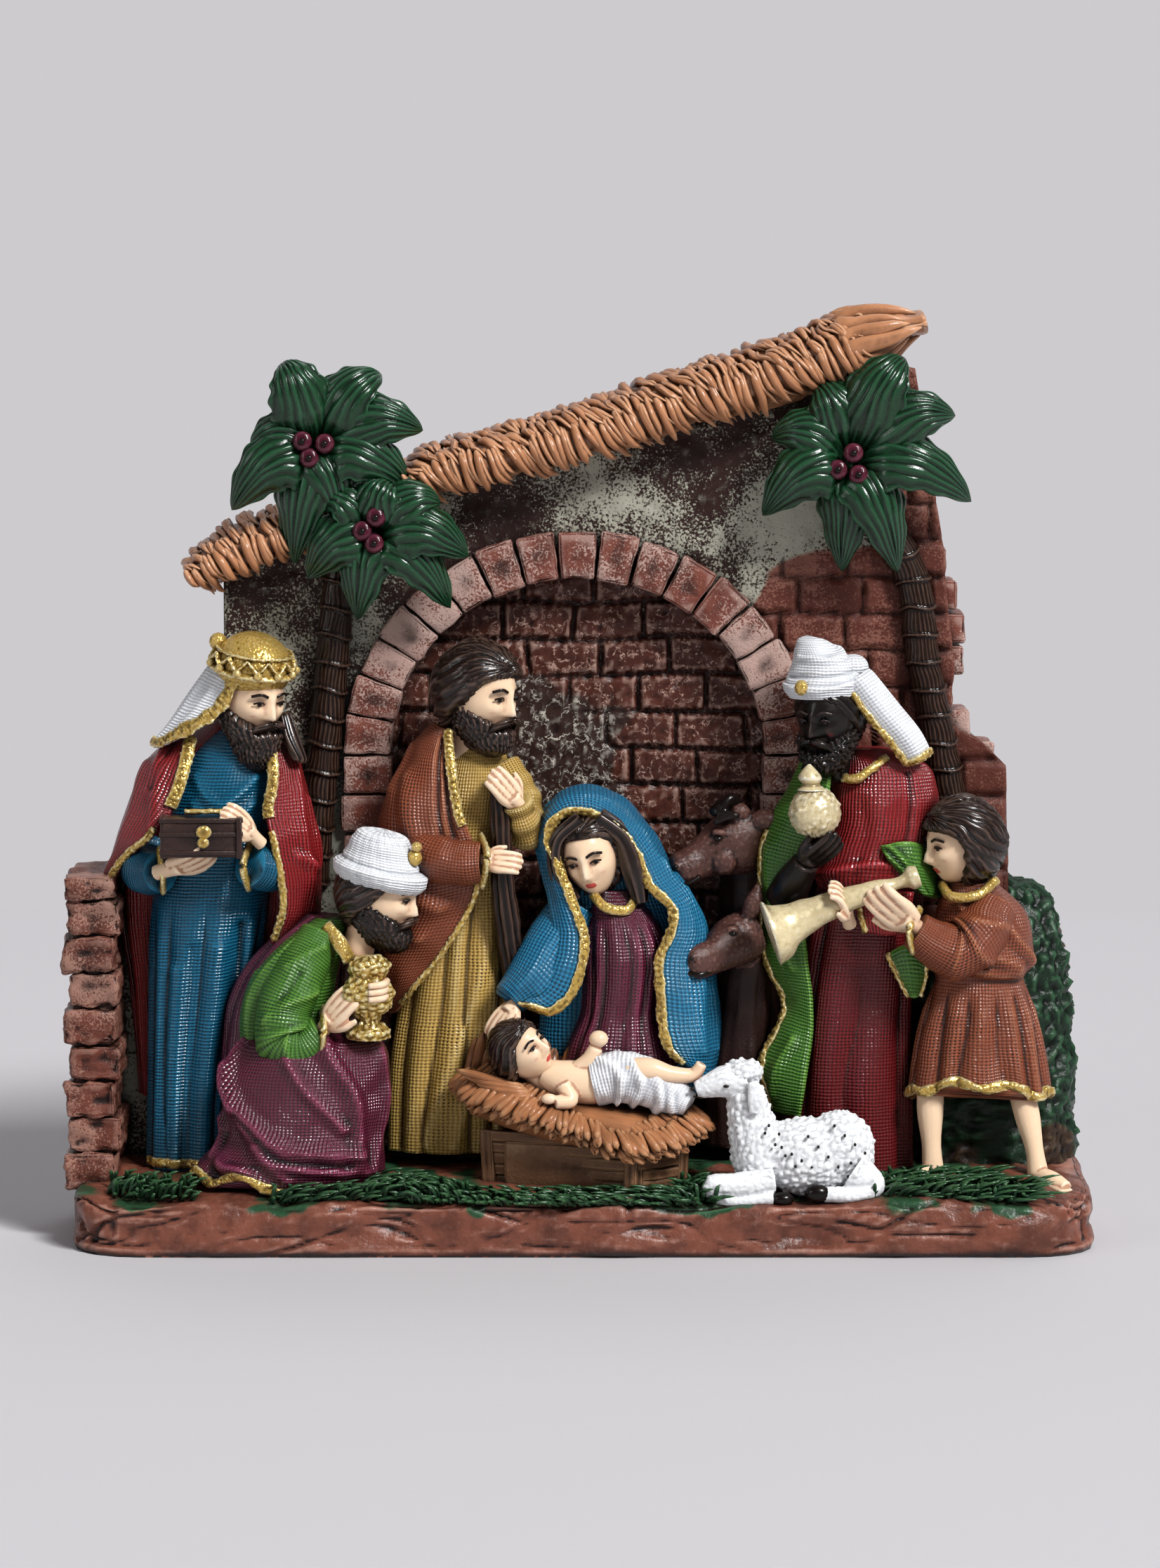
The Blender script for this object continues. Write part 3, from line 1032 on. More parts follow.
def make_joseph():
    """The standing carpenter: robe, mantle with its sleeve, arm, hands, staff, head and hair."""
    foot = BASE_LIP_HEIGHT - BITE
    ground = BASE_GROUND_HEIGHT
    x, y = JOSEPH_X, JOSEPH_Y
    shoulder = ground + JOSEPH_SHOULDER_HEIGHT
    chest_x = x + JOSEPH_LEAN
    robe = sweep("joseph_robe", "tan", [
        ((x, y, foot), JOSEPH_HEM_HALF_WIDTH, JOSEPH_HEM_HALF_DEPTH),
        ((x, y, ground + JOSEPH_SHOULDER_HEIGHT * 0.42), JOSEPH_HEM_HALF_WIDTH * 0.90,
         JOSEPH_HEM_HALF_DEPTH * 0.95),
        ((x + JOSEPH_LEAN / 2, y, ground + JOSEPH_SHOULDER_HEIGHT * 0.72), JOSEPH_CHEST_HALF_WIDTH * 1.1,
         JOSEPH_CHEST_HALF_DEPTH),
        ((chest_x, y, shoulder), JOSEPH_CHEST_HALF_WIDTH * 0.72, JOSEPH_CHEST_HALF_DEPTH * 0.8),
    ], end=0.0020)
    mantle_x = x - JOSEPH_LEAN * 0.8
    mantle_foot = shoulder - JOSEPH_MANTLE_LENGTH
    mantle = sweep("joseph_mantle", "rust", [
        ((mantle_x - JOSEPH_LEAN * 0.8, y, mantle_foot), JOSEPH_MANTLE_HALF_WIDTH * 0.72,
         JOSEPH_MANTLE_HALF_DEPTH * 0.9),
        ((mantle_x - JOSEPH_LEAN * 0.4, y, mantle_foot + JOSEPH_MANTLE_LENGTH * 0.40),
         JOSEPH_MANTLE_HALF_WIDTH,
         JOSEPH_MANTLE_HALF_DEPTH),
        ((mantle_x, y, mantle_foot + JOSEPH_MANTLE_LENGTH * 0.75), JOSEPH_MANTLE_HALF_WIDTH * 0.95,
         JOSEPH_MANTLE_HALF_DEPTH),
        ((chest_x - JOSEPH_LEAN * 0.3, y, shoulder + 0.0010), JOSEPH_MANTLE_HALF_WIDTH * 0.60,
         JOSEPH_MANTLE_HALF_DEPTH * 0.75),
    ], end=0.0015)
    hand_x = chest_x + JOSEPH_CHEST_HALF_WIDTH * 0.75
    hand_y = y - JOSEPH_MANTLE_HALF_DEPTH - JOSEPH_HAND_RADIUS * 0.3
    low_hand_z = ground + JOSEPH_SHOULDER_HEIGHT * 0.76
    high_hand_z = ground + JOSEPH_SHOULDER_HEIGHT * 0.94
    near_sleeve = limb("sleeve", "rust", [
        (chest_x - JOSEPH_CHEST_HALF_WIDTH * 1.1, y - JOSEPH_MANTLE_HALF_DEPTH * 0.3,
         shoulder - JOSEPH_SLEEVE_RADIUS * 2),
        (chest_x - JOSEPH_CHEST_HALF_WIDTH * 1.0, y - JOSEPH_MANTLE_HALF_DEPTH * 0.6, low_hand_z),
        (hand_x - JOSEPH_HAND_RADIUS * 2.0, hand_y + JOSEPH_SLEEVE_RADIUS * 0.4,
         low_hand_z - JOSEPH_HAND_RADIUS * 0.4),
    ], JOSEPH_SLEEVE_RADIUS, wrist=1.0)
    fuse(mantle, near_sleeve)
    far_sleeve = limb("sleeve", "tan", [
        (chest_x + JOSEPH_CHEST_HALF_WIDTH * 0.7, y, shoulder - JOSEPH_SLEEVE_RADIUS * 2.5),
        (chest_x + JOSEPH_CHEST_HALF_WIDTH * 1.35, y - JOSEPH_SLEEVE_RADIUS,
         low_hand_z + JOSEPH_SLEEVE_RADIUS),
        (hand_x + JOSEPH_HAND_RADIUS, hand_y + JOSEPH_SLEEVE_RADIUS * 0.6, high_hand_z - JOSEPH_HAND_RADIUS),
    ], JOSEPH_SLEEVE_RADIUS, wrist=0.7)
    fuse(robe, far_sleeve)
    low_hand = ball("joseph_near_hand", "skin", (hand_x, hand_y, low_hand_z),
                    (JOSEPH_HAND_RADIUS * 1.5, JOSEPH_HAND_RADIUS, JOSEPH_HAND_RADIUS * 1.1),
                    sides=LIMB_SIDES)
    high_hand = ball("joseph_far_hand", "skin", (hand_x + JOSEPH_HAND_RADIUS * 0.3, hand_y, high_hand_z),
                     (JOSEPH_HAND_RADIUS * 1.1, JOSEPH_HAND_RADIUS, JOSEPH_HAND_RADIUS * 1.5),
                     sides=LIMB_SIDES)
    staff = sweep("joseph_staff", "bark", [
        ((hand_x + STAFF_RADIUS, hand_y + STAFF_RADIUS * 2, high_hand_z - STAFF_LENGTH), STAFF_RADIUS,
         STAFF_RADIUS),
        ((hand_x, hand_y + STAFF_RADIUS * 1.4, high_hand_z), STAFF_RADIUS, STAFF_RADIUS),
    ], sides=LIMB_SIDES)
    head_centre = Vector((chest_x, y - JOSEPH_CHEST_HALF_DEPTH * 0.5,
                          shoulder + JOSEPH_HEAD_HALF_HEIGHT * 1.35))
    face = head("joseph_head", "skin", head_centre, JOSEPH_HEAD_HALF_WIDTH, JOSEPH_HEAD_HALF_HEIGHT,
                JOSEPH_BEARD_LENGTH, 0.0016)
    hair = ball("joseph_hair", "dark_hair", head_centre + Vector((-JOSEPH_HEAD_HALF_WIDTH * 0.35,
                                                                  JOSEPH_HEAD_HALF_WIDTH * 0.35,
                                                                  JOSEPH_HEAD_HALF_HEIGHT * 0.22)),
                (JOSEPH_HAIR_RADIUS, JOSEPH_HAIR_RADIUS, JOSEPH_HEAD_HALF_HEIGHT * 1.05))
    return [low_hand, high_hand, face, staff, hair, mantle, robe]


def make_mary():
    """The kneeling mother: dress, mantle, sleeve, hand, head and veil."""
    foot = BASE_LIP_HEIGHT - BITE
    ground = BASE_GROUND_HEIGHT
    x, y = MARY_X, MARY_Y
    shoulder = ground + MARY_SHOULDER_HEIGHT
    dress = sweep("mary_dress", "burgundy", [
        ((x, y, foot), MARY_DRESS_HALF_WIDTH * 1.15, MARY_DRESS_HALF_DEPTH),
        ((x, y, ground + MARY_SHOULDER_HEIGHT * 0.45), MARY_DRESS_HALF_WIDTH, MARY_DRESS_HALF_DEPTH * 0.9),
        ((x, y, ground + MARY_SHOULDER_HEIGHT * 0.85), MARY_DRESS_HALF_WIDTH * 0.92,
         MARY_DRESS_HALF_DEPTH * 0.85),
        ((x + MARY_HEAD_OFFSET * 0.3, y, shoulder), MARY_DRESS_HALF_WIDTH * 0.55,
         MARY_DRESS_HALF_DEPTH * 0.6),
    ], end=0.0015)
    mantle_y = y + MARY_MANTLE_HALF_DEPTH * 0.55
    mantle = sweep("mary_mantle", "sky_blue", [
        ((x + 0.0010, mantle_y, foot), MARY_MANTLE_HALF_WIDTH, MARY_MANTLE_HALF_DEPTH),
        ((x + 0.0010, mantle_y, ground + MARY_SHOULDER_HEIGHT * 0.45), MARY_MANTLE_HALF_WIDTH * 0.96,
         MARY_MANTLE_HALF_DEPTH),
        ((x, mantle_y, ground + MARY_SHOULDER_HEIGHT * 0.82), MARY_MANTLE_SHOULDER_HALF_WIDTH,
         MARY_MANTLE_HALF_DEPTH),
        ((x + MARY_HEAD_OFFSET * 0.5, mantle_y, shoulder + 0.0020), MARY_MANTLE_SHOULDER_HALF_WIDTH * 0.70,
         MARY_MANTLE_HALF_DEPTH * 0.9),
    ], end=0.0010)
    head_centre = Vector((x + MARY_HEAD_OFFSET, y - MARY_DRESS_HALF_DEPTH * 0.5,
                          shoulder + MARY_HEAD_HALF_HEIGHT * 1.15))
    face = head("mary_head", "skin", head_centre, MARY_HEAD_HALF_WIDTH, MARY_HEAD_HALF_HEIGHT, 0.0030,
                -0.0006)
    veil_low = head_centre - UP * MARY_VEIL_HEIGHT * 0.52 + Vector((0.0010, MARY_HEAD_HALF_WIDTH * 0.9, 0.0))
    veil = sweep("mary_veil", "sky_blue", [
        (veil_low, MARY_VEIL_HALF_WIDTH, MARY_VEIL_HALF_WIDTH * 0.6),
        (veil_low + UP * MARY_VEIL_HEIGHT * 0.6, MARY_VEIL_HALF_WIDTH * 0.94, MARY_VEIL_HALF_WIDTH * 0.8),
    ], end=MARY_VEIL_HEIGHT * 0.42)
    hand_at = Vector((x - MARY_MANTLE_HALF_WIDTH - MARY_HAND_RADIUS, y - MARY_MANTLE_HALF_DEPTH * 0.9,
                      ground + MARY_SHOULDER_HEIGHT * 0.56))
    sleeve = limb("sleeve", "sky_blue", [
        (x - MARY_MANTLE_SHOULDER_HALF_WIDTH * 0.75, y, shoulder - MARY_SLEEVE_RADIUS * 1.5),
        (x - MARY_MANTLE_HALF_WIDTH * 0.72, y - MARY_SLEEVE_RADIUS * 0.6, (shoulder + hand_at.z) / 2),
        hand_at + Vector((MARY_SLEEVE_RADIUS, 0.0, MARY_SLEEVE_RADIUS * 0.6)),
    ], MARY_SLEEVE_RADIUS, wrist=0.8)
    hand = ball("mary_hand", "skin", hand_at, (MARY_HAND_RADIUS * 1.7, MARY_HAND_RADIUS, MARY_HAND_RADIUS),
                sides=LIMB_SIDES)
    side = Vector((x + MARY_MANTLE_HALF_WIDTH * 0.68, y - MARY_MANTLE_HALF_DEPTH * 0.35, ground))
    stations = []
    for share, width in ((0.30, 0.7), (0.48, 1.0), (0.72, 1.0), (0.95, 0.6)):
        at = side + UP * MARY_SHOULDER_HEIGHT * share - Vector((MARY_SLEEVE_RADIUS * share, 0.0, 0.0))
        stations.append((at, MARY_FOLD_RADIUS * width, MARY_FOLD_RADIUS * width))
    fuse(mantle, sleeve, sweep("mantle_fold", "sky_blue", stations, start=0.0010, end=0.0010))
    return [hand, face, veil, dress, mantle]


def make_crib():
    """The plank crib, the straw lying over its rim and the child on the straw."""
    low = ground_at(CRIB_Y) - BITE * 2
    top = ground_at(CRIB_Y) + CRIB_HEIGHT
    turn = Matrix.Translation((CRIB_X, CRIB_Y, 0.0)) @ Matrix.Rotation(math.radians(CRIB_TURN), 4, "Z")
    bm = bmesh.new()
    matrix = turn @ Matrix.Translation((0.0, 0.0, (low + top) / 2)) @ Matrix.Diagonal(
        (CRIB_LENGTH, CRIB_WIDTH, top - low, 1.0))
    bmesh.ops.create_cube(bm, size=1.0, matrix=matrix)
    upper = [vert for vert in bm.verts if vert.co.z > (low + top) / 2]
    flare = Matrix.Diagonal((1.0 + 2 * CRIB_FLARE / CRIB_LENGTH, 1.0 + 2 * CRIB_FLARE / CRIB_WIDTH, 1.0))
    bmesh.ops.transform(bm, verts=upper, space=turn.inverted(), matrix=flare.to_4x4())
    crate = new_object("crib_crate", bm, "plank")
    centre = turn @ Vector((0.0, 0.0, top + STRAW_THICKNESS * 0.30))
    along = (turn.to_3x3() @ Vector((1.0, 0.0, 0.0))).normalized()
    stations = []
    for share, width in ((-1.0, 0.42), (-0.72, 0.90), (-0.25, 1.0), (0.30, 0.96), (0.75, 0.82), (1.0, 0.38)):
        lift = STRAW_HEAD_LIFT * max(-share, 0.0) ** 1.5
        at = centre + along * STRAW_HALF_LENGTH * share + UP * lift
        stations.append((at, STRAW_HALF_WIDTH * width, STRAW_THICKNESS * (0.6 + 0.4 * width)))
    straw = sweep("crib_straw", "straw", stations, front=UP)
    rest = centre.z + STRAW_THICKNESS
    head_at = Vector((CRIB_X - STRAW_HALF_LENGTH * 0.50, CRIB_Y + BITE, rest + STRAW_HEAD_LIFT * 0.35
                      + CHILD_HEAD_RADIUS * 0.35))
    skull = ball("child_head", "skin", head_at, (CHILD_HEAD_RADIUS * 1.08, CHILD_HEAD_RADIUS,
                                                 CHILD_HEAD_RADIUS),
                 sides=SIDES)
    chest = head_at + Vector((CHILD_HEAD_RADIUS * 1.35, -BITE * 0.6, -CHILD_HEAD_RADIUS * 0.45))
    reach = CHILD_LENGTH - CHILD_HEAD_RADIUS * 2
    body = sweep("child_body", "white", [
        (chest - Vector((CHILD_BODY_RADIUS * 0.6, 0.0, 0.0)), CHILD_BODY_RADIUS * 0.60,
         CHILD_BODY_RADIUS * 0.70),
        (chest + Vector((reach * 0.18, 0.0, -0.0003)), CHILD_BODY_RADIUS * 0.95, CHILD_BODY_RADIUS),
        (chest + Vector((reach * 0.55, -BITE * 0.5, -0.0006)), CHILD_BODY_RADIUS, CHILD_BODY_RADIUS),
        (chest + Vector((reach, -BITE, 0.0004)), CHILD_BODY_RADIUS * 0.42, CHILD_BODY_RADIUS * 0.42),
    ], sides=LIMB_SIDES, end=0.0010)
    arm = limb("child_arm", "skin", [chest + Vector((0.0010, -BITE, BITE)),
                                     chest + Vector((0.0030, 0.0010, CHILD_BODY_RADIUS * 1.9))],
               CHILD_BODY_RADIUS * 0.36, wrist=1.0)
    return [skull, fuse(body, arm), straw, crate]


def make_lamb():
    """The lying lamb: fleece, face and folded legs."""
    ground = ground_at(LAMB_Y)
    x, y = LAMB_X, LAMB_Y
    middle = ground + LAMB_HALF_HEIGHT * 0.92
    body = sweep("lamb", "white", [
        ((x - LAMB_HALF_LENGTH * 0.80, y, middle + 0.0006), LAMB_HALF_HEIGHT * 0.90, LAMB_HALF_DEPTH * 0.85),
        ((x - LAMB_HALF_LENGTH * 0.20, y, middle), LAMB_HALF_HEIGHT * 0.94, LAMB_HALF_DEPTH),
        ((x + LAMB_HALF_LENGTH * 0.45, y, middle + 0.0008), LAMB_HALF_HEIGHT, LAMB_HALF_DEPTH),
    ], start=LAMB_HALF_LENGTH * 0.30, end=LAMB_HALF_LENGTH * 0.55)
    head_at = Vector((x - LAMB_HALF_LENGTH - LAMB_NECK_RADIUS * 0.55, y, middle + LAMB_NECK_HEIGHT * 0.62))
    neck = sweep("neck", "white", [
        ((x - LAMB_HALF_LENGTH * 0.72, y, middle), LAMB_NECK_RADIUS * 1.1, LAMB_NECK_RADIUS),
        (head_at, LAMB_NECK_RADIUS, LAMB_NECK_RADIUS * 0.9),
    ], sides=LIMB_SIDES, end=LAMB_NECK_RADIUS * 0.8)
    fuse(body, neck)
    muzzle = sweep("muzzle", "white", [
        (head_at + Vector((LAMB_NECK_RADIUS * 0.2, 0.0, 0.0006)), LAMB_NECK_RADIUS * 0.72,
         LAMB_NECK_RADIUS * 0.72),
        (head_at + Vector((-LAMB_NECK_RADIUS * 0.5 - LAMB_MUZZLE_LENGTH, 0.0, -0.0012)),
         LAMB_NECK_RADIUS * 0.36,
         LAMB_NECK_RADIUS * 0.36),
    ], sides=LIMB_SIDES, end=0.0010)
    fuse(body, muzzle)
    for start_x, hoof_x in ((-0.95, -0.95 + LAMB_LEG_LENGTH / LAMB_HALF_LENGTH),
                            (0.95, 0.95 - LAMB_LEG_LENGTH / LAMB_HALF_LENGTH * 0.75)):
        leg_y = y - LAMB_HALF_DEPTH * 0.72
        start = Vector((x + LAMB_HALF_LENGTH * start_x, leg_y, ground_at(leg_y) + LAMB_LEG_RADIUS * 0.7))
        end = Vector((x + LAMB_HALF_LENGTH * hoof_x, leg_y - BITE * 0.4,
                      ground_at(leg_y) + LAMB_HOOF_RADIUS * 0.7))
        fuse(body, limb("leg", "white", [start, end], LAMB_LEG_RADIUS, wrist=0.9))
    return [body]


def make_beast(name, x, y, height, head_length, head_radius, muzzle_radius, neck_radius, extras):
    """An animal's head looking left, on a neck that runs down to the ground."""
    foot = BASE_LIP_HEIGHT - BITE
    poll = Vector((x, y, BASE_GROUND_HEIGHT + height))
    neck = sweep(name, "hide", [
        ((x + neck_radius * 0.2, y + neck_radius * 0.4, foot), neck_radius * 1.15, neck_radius),
        ((x + neck_radius * 0.3, y + neck_radius * 0.3, foot + height * 0.6), neck_radius, neck_radius),
        (poll + Vector((neck_radius * 0.1, 0.0, -neck_radius * 0.2)), neck_radius * 0.8, neck_radius * 0.8),
    ], sides=LIMB_SIDES, end=neck_radius * 0.5)
    skull = sweep("skull", "hide", [
        (poll + Vector((head_radius * 0.3, 0.0, 0.0006)), head_radius, head_radius),
        (poll + Vector((-head_length * 0.45, -BITE, -head_length * 0.12)), head_radius * 0.78,
         head_radius * 0.82),
        (poll + Vector((-head_length, -BITE * 1.5, -head_length * 0.34)), muzzle_radius, muzzle_radius * 1.1),
    ], sides=SIDES, start=head_radius * 0.4, end=muzzle_radius * 0.45)
    fuse(neck, skull)
    for start, end, radius in extras:
        fuse(neck, limb("extra", "hide", [poll + Vector(start), poll + Vector(end)], radius, wrist=0.6))
    return neck


def make_beasts():
    """The ox above and the donkey below, behind the mother's shoulder."""
    ox = make_beast("ox", OX_X, OX_Y, OX_HEIGHT, OX_HEAD_LENGTH, OX_HEAD_RADIUS, OX_MUZZLE_RADIUS,
                    OX_NECK_RADIUS, (
        ((0.0, -OX_HEAD_RADIUS * 0.6, OX_HEAD_RADIUS * 0.5),
         (0.0005, -OX_HEAD_RADIUS * 0.7, OX_HEAD_RADIUS * 1.2), OX_HORN_RADIUS),
        ((OX_HEAD_RADIUS * 0.4, -OX_HEAD_RADIUS * 0.2, OX_HEAD_RADIUS * 0.3),
         (OX_HEAD_RADIUS * 0.4 + OX_EAR_LENGTH, 0.0, OX_HEAD_RADIUS * 0.5), OX_HORN_RADIUS * 0.8),
    ))
    donkey = make_beast("donkey", DONKEY_X, DONKEY_Y, DONKEY_HEIGHT, DONKEY_HEAD_LENGTH, DONKEY_HEAD_RADIUS,
                        DONKEY_MUZZLE_RADIUS, DONKEY_NECK_RADIUS, (
        ((DONKEY_HEAD_RADIUS * 0.3, -DONKEY_HEAD_RADIUS * 0.3, DONKEY_HEAD_RADIUS * 0.4),
         (DONKEY_HEAD_RADIUS * 0.6, -DONKEY_HEAD_RADIUS * 0.3,
          DONKEY_HEAD_RADIUS * 0.4 + DONKEY_EAR_LENGTH), 0.0017),
    ))
    return [donkey, ox]


def make_magus():
    """The king with the jar: robe, cape, sleeve, hand, jar, head, turban and its tail."""
    foot = BASE_LIP_HEIGHT - BITE
    ground = BASE_GROUND_HEIGHT
    x, y = MAGUS_X, MAGUS_Y
    shoulder = ground + MAGUS_SHOULDER_HEIGHT
    chest_x = x + MAGUS_LEAN
    robe = sweep("magus_robe", "red", [
        ((x, y, foot), MAGUS_HEM_HALF_WIDTH, MAGUS_HEM_HALF_DEPTH),
        ((x, y, ground + MAGUS_SHOULDER_HEIGHT * 0.40), MAGUS_HEM_HALF_WIDTH * 0.86,
         MAGUS_HEM_HALF_DEPTH * 0.92),
        ((x + MAGUS_LEAN * 0.6, y, ground + MAGUS_SHOULDER_HEIGHT * 0.70), MAGUS_CHEST_HALF_WIDTH,
         MAGUS_CHEST_HALF_DEPTH),
        ((chest_x, y, ground + MAGUS_SHOULDER_HEIGHT * 0.92), MAGUS_CHEST_HALF_WIDTH, MAGUS_CHEST_HALF_DEPTH),
        ((chest_x, y, shoulder), MAGUS_CHEST_HALF_WIDTH * 0.66, MAGUS_CHEST_HALF_DEPTH * 0.7),
    ], end=0.0020)
    cape_x = x + MAGUS_CAPE_OFFSET
    cape = sweep("magus_cape", "green", [
        ((cape_x, y, foot), MAGUS_CAPE_HALF_WIDTH, MAGUS_CAPE_HALF_DEPTH),
        ((cape_x + MAGUS_CAPE_HALF_WIDTH * 0.7, y, ground + MAGUS_SHOULDER_HEIGHT * 0.38),
         MAGUS_CAPE_HALF_WIDTH * 0.9,
         MAGUS_CAPE_HALF_DEPTH),
        ((cape_x + MAGUS_CAPE_HALF_WIDTH * 0.1, y, ground + MAGUS_SHOULDER_HEIGHT * 0.68),
         MAGUS_CAPE_HALF_WIDTH,
         MAGUS_CAPE_HALF_DEPTH),
        ((cape_x + MAGUS_CAPE_HALF_WIDTH * 0.9, y, shoulder - 0.0010), MAGUS_CAPE_HALF_WIDTH * 0.85,
         MAGUS_CAPE_HALF_DEPTH * 0.9),
    ], end=0.0010)
    jar_at = Vector((x - MAGUS_CHEST_HALF_WIDTH * 0.90, y - MAGUS_CHEST_HALF_DEPTH - JAR_RADIUS * 0.7,
                     ground + MAGUS_SHOULDER_HEIGHT * 0.88))
    jar = ball("magus_jar", "gold", jar_at, (JAR_RADIUS, JAR_RADIUS, JAR_RADIUS * 1.12))
    fuse(jar, sweep("lid", "gold", [(jar_at + UP * JAR_RADIUS * 0.8, JAR_RADIUS * 0.42, JAR_RADIUS * 0.42),
                                    (jar_at + UP * (JAR_RADIUS * 0.9 + JAR_LID_HEIGHT * 0.5),
                                     JAR_RADIUS * 0.40,
                                     JAR_RADIUS * 0.40)], sides=LIMB_SIDES, end=JAR_LID_HEIGHT * 0.4))
    hand_at = jar_at - UP * JAR_RADIUS * 1.2 + Vector((JAR_RADIUS * 0.25, 0.0, 0.0))
    hand = ball("magus_hand", "dark_skin", hand_at, (MAGUS_HAND_RADIUS * 1.9, MAGUS_HAND_RADIUS * 1.2,
                                                     MAGUS_HAND_RADIUS), sides=LIMB_SIDES)
    forearm = limb("forearm", "dark_skin", [
        (cape_x + MAGUS_CAPE_HALF_WIDTH, y - MAGUS_CAPE_HALF_DEPTH * 0.6,
         hand_at.z - MAGUS_SLEEVE_RADIUS * 1.6),
        hand_at + Vector((-MAGUS_HAND_RADIUS * 0.5, MAGUS_HAND_RADIUS * 0.5, -MAGUS_HAND_RADIUS * 0.4)),
    ], MAGUS_SLEEVE_RADIUS)
    fuse(hand, forearm)
    head_centre = Vector((chest_x - MAGUS_LEAN * 2.3, y - MAGUS_CHEST_HALF_DEPTH * 0.6,
                          shoulder + MAGUS_HEAD_HALF_HEIGHT * 1.10))
    face = head("magus_head", "dark_skin", head_centre, MAGUS_HEAD_HALF_WIDTH, MAGUS_HEAD_HALF_HEIGHT,
                MAGUS_BEARD_LENGTH, -0.0004)
    turban_low = head_centre + UP * MAGUS_HEAD_HALF_HEIGHT * 0.35
    turban = sweep("magus_turban", "white", [
        (turban_low, MAGUS_TURBAN_RADIUS, MAGUS_TURBAN_RADIUS),
        (turban_low + UP * MAGUS_TURBAN_HEIGHT * 0.45, MAGUS_TURBAN_RADIUS * 0.92,
         MAGUS_TURBAN_RADIUS * 0.92),
    ], end=MAGUS_TURBAN_HEIGHT * 0.6)
    tail_top = turban_low + Vector((MAGUS_TURBAN_RADIUS * 0.55, MAGUS_TURBAN_RADIUS * 0.2,
                                    MAGUS_TURBAN_HEIGHT * 0.25))
    tail_end = tail_top + Vector((MAGUS_TAIL_LENGTH * 0.62, 0.0, -MAGUS_TAIL_LENGTH * 0.78))
    tail = sweep("tail", "white", [
        (tail_top, MAGUS_TAIL_HALF_WIDTH, MAGUS_TAIL_HALF_WIDTH * 1.5),
        ((tail_top + tail_end) / 2, MAGUS_TAIL_HALF_WIDTH * 1.05, MAGUS_TAIL_HALF_WIDTH * 1.4),
        (tail_end, MAGUS_TAIL_HALF_WIDTH, MAGUS_TAIL_HALF_WIDTH * 1.2),
    ], sides=LIMB_SIDES)
    fuse(turban, tail)
    return [jar, hand, face, turban, robe, cape]


